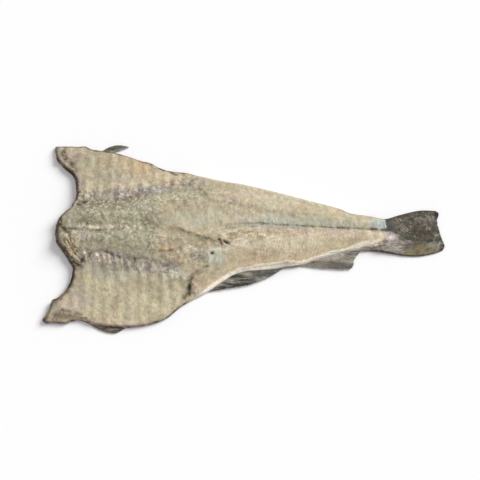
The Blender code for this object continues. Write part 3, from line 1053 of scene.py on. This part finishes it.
# %% Flesh colours and material
STRAW = (0.517, 0.454, 0.307, 1)
STRAW_DEEP = (0.437, 0.367, 0.237, 1)
CREAM = (0.76, 0.68, 0.53, 1)
CRUST_BROWN = (0.13, 0.088, 0.052, 1)
FLESH_TINTS = {            # in the order in which they are laid on
    "olive": (0.356, 0.332, 0.228, 1), "grey": (0.312, 0.282, 0.25, 1),
    "warm": (0.552, 0.396, 0.230, 1), "pink": (0.558, 0.423, 0.349, 1),
    "film": (0.545, 0.515, 0.385, 1), "ochre": (0.42, 0.345, 0.195, 1),
    "blue": (0.385, 0.45, 0.41, 1), "pale": CREAM, "slate": (0.235, 0.235, 0.185, 1),
    "crust": CRUST_BROWN,
}
GAP_BROWN = (0.065, 0.045, 0.026, 1)
FLECK_LIGHT = (0.80, 0.75, 0.62, 1)


def flesh_material():
    """Cured cod flesh."""
    material, shader, place, mask = new_material(
        "cured_flesh", masks, Subsurface_Weight=0.12, Subsurface_Scale=0.003, IOR=1.4,
    )
    grain = mask["grain"]
    blotch = place.noise(9, 3, 0.6)

    colour = blend(place.tree, place.noise(30, 3).step(0.35, 0.65), STRAW, STRAW_DEEP)
    colour = colour.tinted(mask, FLESH_TINTS, 0.45 + 1.1 * blotch)
    fibres = place.noise(3.4, 2, 0.6, stretch=((1, 0.22, 1), -5)) - 0.5
    # lift is painted light and shade: it lightens slopes turned from the lamp and darkens lit ones
    shade = (1 + 0.15 * mask["bands"]) * (1 + mask["lift"]) * (1 + 0.55 * fibres)
    colour = flecked(place, colour.scaled(shade), 0.65 + 1.05 * grain, hue=0.12)
    colour = colour.times(place.noise(26, 1, output=1).shifted(0.11, 0.945))
    light = place.noise(6.5, 1, bend=1.0).step(0.56, 0.70)
    dark = place.noise(7.5, 2, 0.6, bend=1.0).step(0.57, 0.72)
    strokes = place.noise(7.0, 1, stretch=((0.45, 1, 1), 62)).step(0.57, 0.72)
    colour = colour.mix(FLECK_LIGHT, light * (0.12 + 0.40 * grain))
    colour = colour.mix(FLECK_LIGHT, strokes * 0.18)
    worm = place.noise(6.0, 1, stretch=((0.42, 1, 1), -38), bend=0.8)
    colour = colour.mix(CREAM, worm.step(0.54, 0.64) * mask["worms"] * 0.65)
    colour = colour.mix(CRUST_BROWN, worm.step(0.46, 0.34) * mask["worms"] * 0.35)
    colour = colour.mix(GAP_BROWN, dark * (0.08 + 0.40 * grain))
    # The gap mask's dark brown is partly painted shade in the crevices and holes.
    colour = colour.tinted(mask, {"gap": GAP_BROWN}, 0.35 + blotch)

    damp = place.noise(16, 2).step(0.42, 0.62)
    pores = place.noise(1.1, 2) * 0.35 + place.noise(3.0, 2) * 0.65
    connect(
        shader, Base_Color=colour, Roughness=0.60 - 0.14 * damp + 0.12 * grain,
        Normal=place.bump(pores, 0.9, 0.5),
    )
    return material


belongs(flesh, flesh_material())

# %% [markdown]
# ## Skin
#
# The skin wraps the underside and turns up round the edge. From above only its rim shows:
# a thin dark line round the shoulders and the lower flap, and a broad pale belly band along
# the lower edge of the tail stalk. It is one closed slab whose hidden top stays inside the
# flesh. Its underside is rounded up at the rim and carries the pattern of the back.

# %% Skin mesh
SKIN_CELLS = (300, 112)
SKIN_END = ((262, 31.5), (266, 20), (268, 8), (270, -6), (272, -20), (270, -33.5))
SKIN_EDGE_LOW = 1.0
SKIN_THICKNESS = 1.9
SKIN_TURN = 5.0            # how far in from the outline the skin touches the table
SKIN_CREST = 0.45          # height of the skin's curled edge beside the flesh


def skin_shape(along, across):
    """Places and heights of the skin slab."""
    along, across = closer_at_start(along, 0.5), closer_at_ends(across, 0.62)
    x, y = patch_plan(along, across, (front_path, *edges_to(SKIN_END), smooth_path(SKIN_END)))
    s = survey(x, y)
    crest = SKIN_CREST * bell(s.in_flesh + 0.9, 0.9)
    top = shell(s, body_form(s)) + crest * soft(s.to_outline, 0, 1.5)
    top -= 2.6 * soft(x, 211, 221)
    top = top + (SKIN_THICKNESS - top) * soft(s.in_flesh, 0.2, 2.4)
    underside = SKIN_EDGE_LOW * np.clip(1 - s.to_outline / SKIN_TURN, 0, 1)**2
    return x, y, np.maximum(top, underside + 0.5), underside


skin = slab("cod_skin", SKIN_CELLS, skin_shape)


# %% Colour masks of the skin
def skin_masks(piece):
    """Masks of the skin: rim, pale belly, dried edge, back, brown stalk and side line."""
    x, y, z = places_of(piece)
    s = survey(x, y)
    lower = ~s.upper
    fine = lumps(x, y, 6, 76, 2)
    facing_up = soft(z, 2.4, 4.5)
    reach = 1.8 + 0.8 * soft(x, 176, 190)
    belly_fade = 0.35 * soft(178 - x, 0, 30) + 0.65 * soft(66 - x, 0, 30)
    return {
        "rim": lower * soft(x, -86, -64) * soft(s.in_flesh + reach, 0, 1.3) * facing_up,
        "belly": lower * soft(x, -88, -56) * soft(z, 1.5, 4.5) * belly_fade,
        "dried": strongest(
            table(COLLAR_DRYING_AND_SHADE, y) * soft(8 - s.to_front, 0, 4) * (x < -280),
            soft(-90 - x, 0, 20) * soft(6 - s.to_outline, 0, 3) * lower * (0.65 + 0.4 * fine),
            0.7 * soft(x, 50, 70) * soft(105 - x, 0, 15) * lower * soft(2.4 - s.to_outline, 0, 1.2),
            soft(-90 - x, 0, 20) * s.upper * soft(6 - s.to_outline, 0, 3) * (0.7 + 0.4 * fine),
        ),
        "back": soft(s.to_outline, 12, 55), "stalk": lower * soft(x, 190, 215),
        "line": bell(s.out - 26, 2.2) * soft(x, -280, -240),
    }


skin_mask_values = skin_masks(skin)
paint(skin, skin_mask_values)

# %% Skin colours and material
BELLY_PALE = (0.88, 0.83, 0.71, 1)
RIM_CREAM = (0.93, 0.86, 0.72, 1)
BACK_BROWN = (0.13, 0.105, 0.07, 1)
BACK_OLIVE = (0.22, 0.20, 0.13, 1)
SIDE_GREY = (0.50, 0.465, 0.395, 1)
STALK_BROWN = (0.215, 0.175, 0.145, 1)
STALK_PALE = (0.37, 0.33, 0.285, 1)
DRIED_BROWN = (0.075, 0.045, 0.03, 1)
SIDE_LINE = (0.42, 0.40, 0.31, 1)


def skin_material():
    """Salted skin: mottled back, pale belly, dried rim, small scales."""
    material, shader, place, mask = new_material("cured_skin", skin_mask_values, IOR=1.42)
    mottle = place.noise(11, 4, 0.6)
    small = place.noise(3, 2)
    colour = blend(place.tree, mottle.step(0.42, 0.58), BACK_BROWN, BACK_OLIVE)
    colour = colour.mix(SIDE_GREY, ((1 - mask["back"]) * (0.5 + mottle)).clamped())
    colour = colour.tinted(mask, {"line": SIDE_LINE}, 0.4 + mottle)
    colour = colour.mix(BELLY_PALE, mask["belly"])
    colour = colour.mix(STALK_BROWN, mask["stalk"])
    colour = colour.tinted(mask, {"rim": RIM_CREAM}, 0.6 + small)
    colour = colour.tinted(mask, {"dried": DRIED_BROWN}, 0.5 + mottle)
    colour = flecked(place, colour, 0.9)
    scales = place.stretched((0.8, 1, 1)).cells(2.4)
    connect(
        shader, Base_Color=colour, Roughness=0.42 + 0.2 * small,
        Normal=place.bump(scales, 0.5, 0.5),
    )
    return material


belongs(skin, skin_material())

# %% [markdown]
# ## Tail
#
# Where the flesh ends, the stalk is still wrapped in skin, and the skin runs on into the
# tail fin: a web stretched over many thin rays that split in two towards the margin. The
# piece starts out of sight under the flesh and the skin, follows the form of the stalk and
# thins towards the ragged margin.

# %% Tail mesh
TAIL_CELLS = (120, 150)
TAIL_ROOT_X = 204.0
TAIL_RAYS = 30
LOBE_LINE = ((243, 10), (256, 8), (266, 5), (272, 0), (286, -6), (306, -7.5), (345, -6))


def ray_wave(rays, across, out):
    """Rays that split in two towards the margin: 1 on a ray, -1 on the web."""
    place = rays * across + 0.22 * lumps(across * 40, out * 6, 1.0, 81)
    split = soft(out, 0.55, 0.85)
    return wave(place) * (1 - split) + np.cos(4 * np.pi * place + 0.6) * split


def tail_used(across):
    """Share across the tail after moving cells towards both edges."""
    return closer_at_ends(across, 0.3)


def tail_shape(along, across):
    """Places and heights of the tail."""
    used = tail_used(across)
    teeth = 1.7 * np.abs(lumps(across * 150, across * 0, 4.0, 82, 2))
    teeth += 0.9 * np.abs(lumps(across * 150, across * 0, 1.8, 83))
    ends = [(TAIL_ROOT_X, np.interp(TAIL_ROOT_X, p[:, 0], p[:, 1])) for p in (upper_path, lower_path)]
    upper = upper_path[upper_path[:, 0] > TAIL_ROOT_X]
    lower = lower_path[lower_path[:, 0] > TAIL_ROOT_X]
    sides = (np.linspace(ends[0], ends[1], 40), upper, lower, margin_path)
    x, y = patch_plan(along, used, sides, 0.1, 0.3)
    x = x - teeth * soft(along, 0.8, 1.0) * 0.8
    s = survey(x, y)
    bow = 1 - np.abs(2 * used - 1)**3
    surface = shell(s, body_form(s))
    surface += 0.30 * ray_wave(TAIL_RAYS, used, along) * soft(x, 250, 285) * soft(bow, 0, 0.25)
    surface += 0.35 * lumps(x * 0.25, y, 3.0, 85, 2) * soft(290 - x, 0, 30) * (s.y < 5)
    surface += 0.3 * lumps(x, y, 12, 84, 2)
    surface -= 0.4 * near_line(LOBE_LINE, x, y, 1.8, 2.5, 86)
    surface -= 0.9 * np.exp(-np.maximum(-s.in_flesh, 0) / 3)
    surface -= 1.8 * soft(s.in_flesh, -0.2, 1.6) + 2.2 * soft(222 - x, 0, 12)
    low = 0.35 + 0.25 * (ray_wave(TAIL_RAYS, used, along) + 1) * soft(x, 260, 300)
    curl = 2.0 * soft(along, 0.75, 1.0) * soft(0.25 - used, 0, 0.2)
    return x, y, np.maximum(surface, low + 0.6) + curl, low + curl


tail = slab("tail_fin", TAIL_CELLS, tail_shape)


# %% [markdown]
# The tail's upper lobe is dark and speckled, the lower one olive. Between them runs a nearly
# black line, and a pearly patch of bare skin sits where the flesh ends.

# %% Colour masks of the tail
TAIL_OVALS = {
    "dark": (
        (1.0, 337, 42, 9, 10, 0.5), (0.6, 304, 6, 28, 10), (0.75, 275, -2, 13, 9),
        (0.5, 287, -14, 18, 6),
    ),
    "mauve": (
        (0.45, 282, 16, 16, 10), (0.8, 322, 36, 16, 13), (0.35, 285, -15, 12, 11),
        (0.5, 332, -24, 14, 7),
    ),
    "swarthy": ((1.0, 305, 3, 34, 12),), "grey": ((1.0, 330, -13, 18, 7),),
    "pearl": ((1.3, 247, 1, 13, 9, 0.7),),
}


def tail_masks(piece):
    """Masks of the tail: its rays, its ovals, both lobes, the root, the stalk and its rim."""
    x, y, _ = places_of(piece)
    along, across = layer_values(piece, "along"), layer_values(piece, "across")
    s = survey(x, y)
    below_lobe = table(LOBE_LINE, x) - y
    root = soft(262 - x, 0, 10) * soft(-below_lobe, -2, 3)
    stalk = soft(292 - x + 0.8 * (y + 20), 0, 30) * soft(below_lobe, -1, 3)
    m = {name: ovals(s, rows) for name, rows in TAIL_OVALS.items()}
    m["dark"] = strongest(
        m["dark"], soft(x, 326, 334) * soft(y, 34, 40), 0.75 * soft(3.2 - s.to_outline, 0, 2.0),
        0.8 * near_line(LOBE_LINE, x, y, 2.4, 3.5, 86) * (0.3 + 0.7 * torn(s, 7, 34, 0.6)),
        0.9 * soft(along, 0.93, 0.99) * soft(2 - y, 0, 6) * soft(lumps(x * 0, y, 4, 87), -0.2, 0.4),
        # Darkest on the root right beside the flesh's end: painted shadow of that edge.
        0.7 * root * soft(-s.in_flesh, -1, 4),
    )
    m["pearl"] *= soft(below_lobe, 0, 2)
    m["rays"] = ray_wave(TAIL_RAYS, tail_used(across), along) * soft(x, 250, 285)
    m["olive"] = soft(below_lobe, 1, 9) * (1 - stalk) * soft(346 - x, 0, 14)
    m["upper"] = soft(3 * lumps(x, y, 7, 33, 2) - below_lobe, -3, 4)
    m["stalk"], m["slate"] = stalk, root
    m["rim"] = soft(s.in_flesh, -4.2, -2.6) * soft(240 - x, 0, 12) * soft(-5 - y, 0, 5)
    return m


tail_mask_values = tail_masks(tail)
paint(tail, tail_mask_values)

# %% Tail material
FIN_DARK = (0.030, 0.024, 0.017, 1)
FIN_BROWN = (0.130, 0.108, 0.080, 1)
FIN_OLIVE = (0.105, 0.092, 0.045, 1)
LOBE_OLIVE = (0.190, 0.155, 0.070, 1)
SPECK_OLIVE = (0.31, 0.27, 0.20, 1)
FIN_LIGHT = (0.33, 0.30, 0.24, 1)
FIN_GREY = (0.28, 0.275, 0.22, 1)
FIN_MAUVE = (0.185, 0.160, 0.142, 1)
ROOT_SLATE = (0.120, 0.128, 0.118, 1)
FIN_PALE = (0.50, 0.49, 0.41, 1)
PEARL = (0.45, 0.395, 0.385, 1)


def web_colour(place, rays, darkness):
    """Mottled dark web with slightly lighter rays."""
    colour = blend(place.tree, place.noise(8, 3, 0.6).step(0.40, 0.60), FIN_BROWN, FIN_OLIVE)
    shade = place.noise(8.0, 3, 0.65, bend=0.8).step(0.42, 0.60)
    return colour.scaled(1 + 0.30 * rays).mix(FIN_DARK, shade * darkness)


def tail_material():
    """Dark rayed tail with a paler stalk and lower lobe."""
    material, shader, place, mask = new_material("tail_web", tail_mask_values, IOR=1.42)
    broken = 0.35 + 1.3 * place.noise(6, 3, 0.6)
    lengthwise = place.noise(4.5, 2, 0.6, stretch=((0.22, 1, 1), 12))
    colour = web_colour(place, mask["rays"], 0.85)
    colour = colour.tinted(mask, {"olive": LOBE_OLIVE}, broken)
    colour = colour.mix(STALK_BROWN, lengthwise.step(0.45, 0.60) * mask["olive"] * 0.5)
    colour = colour.tinted(mask, {"mauve": FIN_MAUVE, "grey": FIN_GREY}, broken)
    colour = colour.mix(FIN_OLIVE, mask["swarthy"] * 0.5)
    light_specks = place.noise(9.0, 2, 0.5, bend=1.2).step(0.53, 0.66)
    colour = colour.mix(SPECK_OLIVE, light_specks * mask["upper"] * 0.65)
    dark_specks = place.noise(11.0, 3, 0.65, bend=1.4).step(0.48, 0.56)
    colour = colour.mix(FIN_DARK, dark_specks * mask["upper"] * (0.65 + 0.35 * mask["swarthy"]))
    colour = colour.tinted(mask, {"slate": ROOT_SLATE}, 0.7)
    streaked = blend(place.tree, lengthwise.step(0.36, 0.58), STALK_BROWN, STALK_PALE)
    colour = colour.mix(streaked, mask["stalk"])
    colour = colour.tinted(mask, {"pearl": PEARL, "rim": CREAM}, broken)
    colour = colour.tinted(mask, {"dark": FIN_DARK}, 0.5 + place.noise(4, 2))
    colour = flecked(place, colour, 2.2, 6.0)
    connect(
        shader, Base_Color=colour, Roughness=0.45 + 0.25 * place.noise(3, 2),
        Normal=place.bump(place.noise(1.8, 2), 0.6, 0.5),
    )
    return material


belongs(tail, tail_material())

# %% [markdown]
# ## Four small fins
#
# The fins under the edge have folded flat in the salt. Each is a slab between a root line
# and an outer margin, with its rays as ridges on both faces. The rays lean back: a ray that
# starts at one share of the root ends at a later share of the margin.

# %% Four small fins
FIN_LOW = 0.5              # height of the fins' underside above the table


def fin_plan(pale_front=0.0, painted_shade_line=0, dark_margin=0, **rest):
    """The choices made for one small fin."""
    return SimpleNamespace(
        pale_front=pale_front, painted_shade_line=painted_shade_line, dark_margin=dark_margin, **rest,
    )


SMALL_FINS = {
    "first_anal_fin": fin_plan(
        root=((-64, -86), (-18, -60), (30, -47), (62, -44)),
        margin=((-72, -99), (-27, -91), (-4, -88), (16, -82), (34, -75), (46, -69), (64, -57)),
        rays=9, lean=2.0, cells=(150, 48), root_top=4.6, margin_top=1.8, lift=2.5, dark=1.0,
        pale=0.9, tint=(0.17, 0.18, 0.162, 1), pale_root=0.4, pale_front=0.6, painted_shade_line=1,
        dark_margin=1,
    ),
    "second_anal_fin": fin_plan(
        root=((96, -42), (125, -33), (160, -25), (196, -20)),
        margin=(
            (92, -52), (115, -54), (138, -56.5), (182, -57.5), (187, -51), (189, -41), (200, -25),
        ),
        rays=18, lean=0.5, cells=(150, 36), root_top=4.8, margin_top=1.8, lift=2.0, dark=0.6,
        pale=0.85, tint=(0.32, 0.285, 0.235, 1), pale_root=0.7,
    ),
    "upper_pectoral_fin": fin_plan(
        root=((-262, 150), (-244, 154), (-232, 157.5), (-221, 161.5), (-208, 166.2)),
        margin=((-258, 157), (-247, 163.5), (-236, 168.3), (-222, 169.4), (-208, 167.2)),
        rays=7, lean=0.7, cells=(72, 24), root_top=2.9, margin_top=1.9, lift=3.0, dark=1.0,
        pale=0.35, tint=(0.075, 0.08, 0.06, 1), pale_root=0.6, dark_margin=1,
    ),
    "lower_pectoral_fin": fin_plan(
        root=((-274, -142), (-244, -150), (-207, -155)),
        margin=((-272, -151.5), (-253, -162), (-238, -168), (-222, -169.5), (-207, -162)),
        rays=5, lean=1.6, cells=(80, 24), root_top=2.9, margin_top=1.9, lift=1.0, dark=1.0,
        pale=0.5, tint=(0.10, 0.06, 0.05, 1), pale_root=0.0,
    ),
}


# %% Rays, painted shade lines, dark margins and pale roots of the small fins
def small_fin_rays(fin, along, across):
    """1 on a ray and -1 between rays."""
    return wave(fin.rays * (along - fin.lean * across / 2))


def fin_shade_and_margin(fin, along, across):
    """Painted shade in a line where the fin runs under the belly's edge, and the fin's own dark
    margin.
    """
    line = soft(0.22 - across, 0, 0.10) * soft(along, 0.52, 0.64) * soft(0.95 - along, 0, 0.1)
    margin = soft(across + 0.06 * lumps(along * 30, across, 1.0, 32), 0.86, 0.96)
    margin = 0.7 * margin * soft(0.62 - along, 0, 0.3)
    return np.maximum(line * fin.painted_shade_line, margin * fin.dark_margin)


def fin_pale(fin, along, across):
    """How far the pale belly skin runs out over a fin, from its root and from its front."""
    wavy = 0.12 * lumps(along * 20, across * 4, 1.0, 93, 2)
    root = fin.pale_root * soft(0.45 - across + wavy, 0, 0.35)
    front = fin.pale_front * soft(0.40 - along + wavy, 0, 0.22) * soft(1.06 - across, 0, 0.5)
    return np.maximum(root, front)


# %% Shape and material of the small fins
def small_fin_shape(fin, along, across):
    """Places and heights of a small fin. Across runs from the root to the margin."""
    root = at_share(smooth_path(fin.root), along)
    margin = at_share(smooth_path(fin.margin), along)
    teeth = 1 - 0.07 * np.abs(lumps(along * 120, along * 0, 3.0, 91, 2)) * soft(across, 0.6, 1.0)
    plan = root + (margin - root) * (across * teeth)[:, None]
    rays = 0.6 * small_fin_rays(fin, along, across) * soft(across, 0.1, 0.3)
    body = fin.root_top + (fin.margin_top - fin.root_top) * across
    body += 0.5 * lumps(plan[:, 0], plan[:, 1], 9, 92, 2) * soft(across, 0.2, 0.5)
    lift = fin.lift * across * np.sqrt(along * (1 - along)) * 2
    low = FIN_LOW + 0.15 * (rays + 1)
    thin = 0.5 + 0.5 * np.sqrt(np.clip(1 - across**6, 0, 1))
    top = low + np.maximum(body + 0.28 * rays - low, 0.8) * thin
    return plan[:, 0], plan[:, 1], top + lift, low + lift


def small_fin_material(name, fin, masks):
    """Dark web with pale streaks along the rays."""
    material, shader, place, mask = new_material(name + "_web", masks, IOR=1.42)
    colour = web_colour(place, mask["rays"] * 0.5, fin.dark)
    colour = colour.mix(fin.tint, 0.5)
    long_marks = place.noise(7.5, 2, 0.5, stretch=((0.14, 1, 1), -8), bend=0.4)
    colour = colour.mix(FIN_LIGHT, long_marks.step(0.50, 0.64) * fin.pale)
    colour = colour.tinted(mask, {"pale": FIN_PALE}, 0.4 + place.noise(7, 2))
    colour = colour.mix(FIN_DARK, long_marks.step(0.49, 0.37) * fin.dark * 0.9)
    # The dark mask: painted shade under the belly's edge and the fin's own dark margin.
    colour = colour.mix(FIN_DARK, mask["dark"] * 0.85)
    colour = flecked(place, colour, 0.9, 6.5)
    small = place.noise(2.6, 2)
    connect(
        shader, Base_Color=colour, Roughness=0.45 + 0.2 * small,
        Normal=place.bump(small, 0.5, 0.4),
    )
    return material


# %% Build the small fins
for fin_name, fin in SMALL_FINS.items():
    piece = slab(fin_name, fin.cells, lambda along, across: small_fin_shape(fin, along, across))
    shares = layer_values(piece, "along"), layer_values(piece, "across")
    fin_masks = {
        "rays": small_fin_rays(fin, *shares), "pale": fin_pale(fin, *shares),
        "dark": fin_shade_and_margin(fin, *shares),
    }
    paint(piece, fin_masks)
    belongs(piece, small_fin_material(fin_name, fin, fin_masks))

# %% [markdown]
# ## Salt
#
# Coarse salt grains still sit on the flesh, most of them in the rough hollows at the front.
# Each is a small cube, turned and squashed at random and sunk a little into the surface.
# They are one joined mesh, scattered by chance but denser where the flesh is rough.

# %% Salt grains
SALT_TRIES = 9000
SALT_SIZE = (0.7, 1.6)     # millimetres
SALT_PINCH = 250           # grains made at a time, since a small mesh grows faster
rng = np.random.default_rng(7)
try_x = rng.uniform(-330, 240, SALT_TRIES)
try_y = rng.uniform(-155, 160, SALT_TRIES)
luck = rng.uniform(0, 1, SALT_TRIES)
spread = survey(try_x, try_y)
uneven = 0.6 + 0.8 * lumps(try_x, try_y, 16, 95, 2)
chance = np.clip(0.04 + 0.42 * graininess(spread) * uneven, 0.02, 1)
kept = (spread.in_flesh > 6) & (luck < chance)
grain_x, grain_y = try_x[kept], try_y[kept]
grains = np.stack((grain_x, grain_y, flesh_top(survey(grain_x, grain_y))), axis=-1)


def add_grains(bm, places):
    """Adds one small turned cube at each place."""
    pinch = bmesh.new()
    for x, y, z in places:
        size = rng.uniform(*SALT_SIZE) * rng.uniform(0.6, 1.0)
        turn = Euler(rng.uniform(0, math.pi, 3)).to_matrix().to_4x4()
        squash = Matrix.Diagonal((*rng.uniform(0.7, 1.15, 3) * size * MM, 1))
        place = Matrix.Translation(Vector((x, y, z + 0.1 * size)) * MM)
        bmesh.ops.create_cube(pinch, size=1, matrix=place @ turn @ squash)
    held = bpy.data.meshes.new("pinch_of_salt")
    pinch.to_mesh(held)
    pinch.free()
    bm.from_mesh(held)
    bpy.data.meshes.remove(held)


bm = bmesh.new()
for start in range(0, len(grains), SALT_PINCH):
    add_grains(bm, grains[start:start + SALT_PINCH])
salt = finished(bm, "salt_grains")
salt.data.shade_flat()
print("salt grains:", len(grains))


# %% Salt material
SALT_WHITE = (0.60, 0.56, 0.45, 1)
SALT_STRAW = (0.46, 0.42, 0.32, 1)


def salt_material():
    """Dull white salt with a faint straw cast."""
    material, shader, place, _ = new_material(
        "coarse_salt", IOR=1.5, Subsurface_Weight=0.2, Subsurface_Scale=0.001,
    )
    tone = place.noise(12, 2)
    colour = blend(place.tree, tone.step(0.35, 0.65), SALT_WHITE, SALT_STRAW)
    connect(shader, Base_Color=colour, Roughness=0.45 + 0.3 * tone)
    return material


belongs(salt, salt_material())

# %% [markdown]
# ## Floor, light and camera
#
# The fish lies on plain white. A broad lamp on the right, beyond the fish and a third of the
# way up, throws a soft, faint shadow towards the near left, and a bright sky fills the rest.
# The camera looks down from 75 degrees with a long lens.

# %% Floor
FLOOR_HALF = 6             # metres
FLOOR_DROP = 0.0004        # metres under the fish, so that the two faces do not meet
FLOOR_SHADES = (0.895, 0.895, 0.90, 1), (0.905, 0.905, 0.91, 1)
floor_bm = bmesh.new()
bmesh.ops.create_grid(floor_bm, x_segments=2, y_segments=2, size=FLOOR_HALF)
bmesh.ops.translate(floor_bm, verts=floor_bm.verts, vec=(0, 0, -FLOOR_DROP))
floor = finished(floor_bm, "floor")
floor_material, floor_shader, floor_place, _ = new_material(
    "white_floor", Roughness=0.9, Emission_Strength=0.06, Emission_Color=(1, 1, 1, 1),
    Specular_IOR_Level=0.2,
)
floor_tone = floor_place.noise(900, 1)
connect(floor_shader, Base_Color=blend(floor_place.tree, floor_tone, *FLOOR_SHADES))
floor.data.materials.append(floor_material)

# %% Sky and lamp
SKY_STRENGTH = 0.46
SKY_TINT = (1.02, 0.975, 0.995, 1)
LAMP_TINT = (0.98, 1.0, 0.985)
LAMP_STRENGTH = 3.42
LAMP_WIDTH = 32            # degrees


def looking(way):
    """The turn of a lamp or camera that looks a given way."""
    return way.to_track_quat("-Z", "Y").to_euler()


world = bpy.data.worlds.new("white_sky")
world.use_nodes = True
sky = world.node_tree.nodes["Background"]
seen = world.node_tree.nodes.new("ShaderNodeLightPath").outputs["Is Camera Ray"]
sky_strength = Wire(world.node_tree, seen) * (1 - SKY_STRENGTH) + SKY_STRENGTH
sky.inputs["Color"].default_value = SKY_TINT
feed(world.node_tree, sky.inputs["Strength"], sky_strength)
bpy.context.scene.world = world
lamp_data = bpy.data.lights.new("broad_lamp", "SUN")
lamp_data.energy, lamp_data.angle = LAMP_STRENGTH, math.radians(LAMP_WIDTH)
lamp_data.color = LAMP_TINT
lamp = placed("broad_lamp", lamp_data)
lamp.rotation_euler = looking(-LAMP_FROM)
bpy.context.scene.view_settings.view_transform = "Standard"

# %% Camera
CAMERA_HEIGHT_ANGLE = math.radians(75)
CAMERA_DISTANCE = 1.9786
CAMERA_AIM = Vector((-0.0096, -0.0043, 0))
CAMERA_LENS, CAMERA_SENSOR = 85, 36
camera_data = bpy.data.cameras.new("camera")
camera_data.lens, camera_data.sensor_width = CAMERA_LENS, CAMERA_SENSOR
camera = placed("camera", camera_data)
back = Vector((0, -math.cos(CAMERA_HEIGHT_ANGLE), math.sin(CAMERA_HEIGHT_ANGLE)))
camera.location = CAMERA_AIM + back * CAMERA_DISTANCE
camera.rotation_euler = looking(-back)
bpy.context.scene.camera = camera
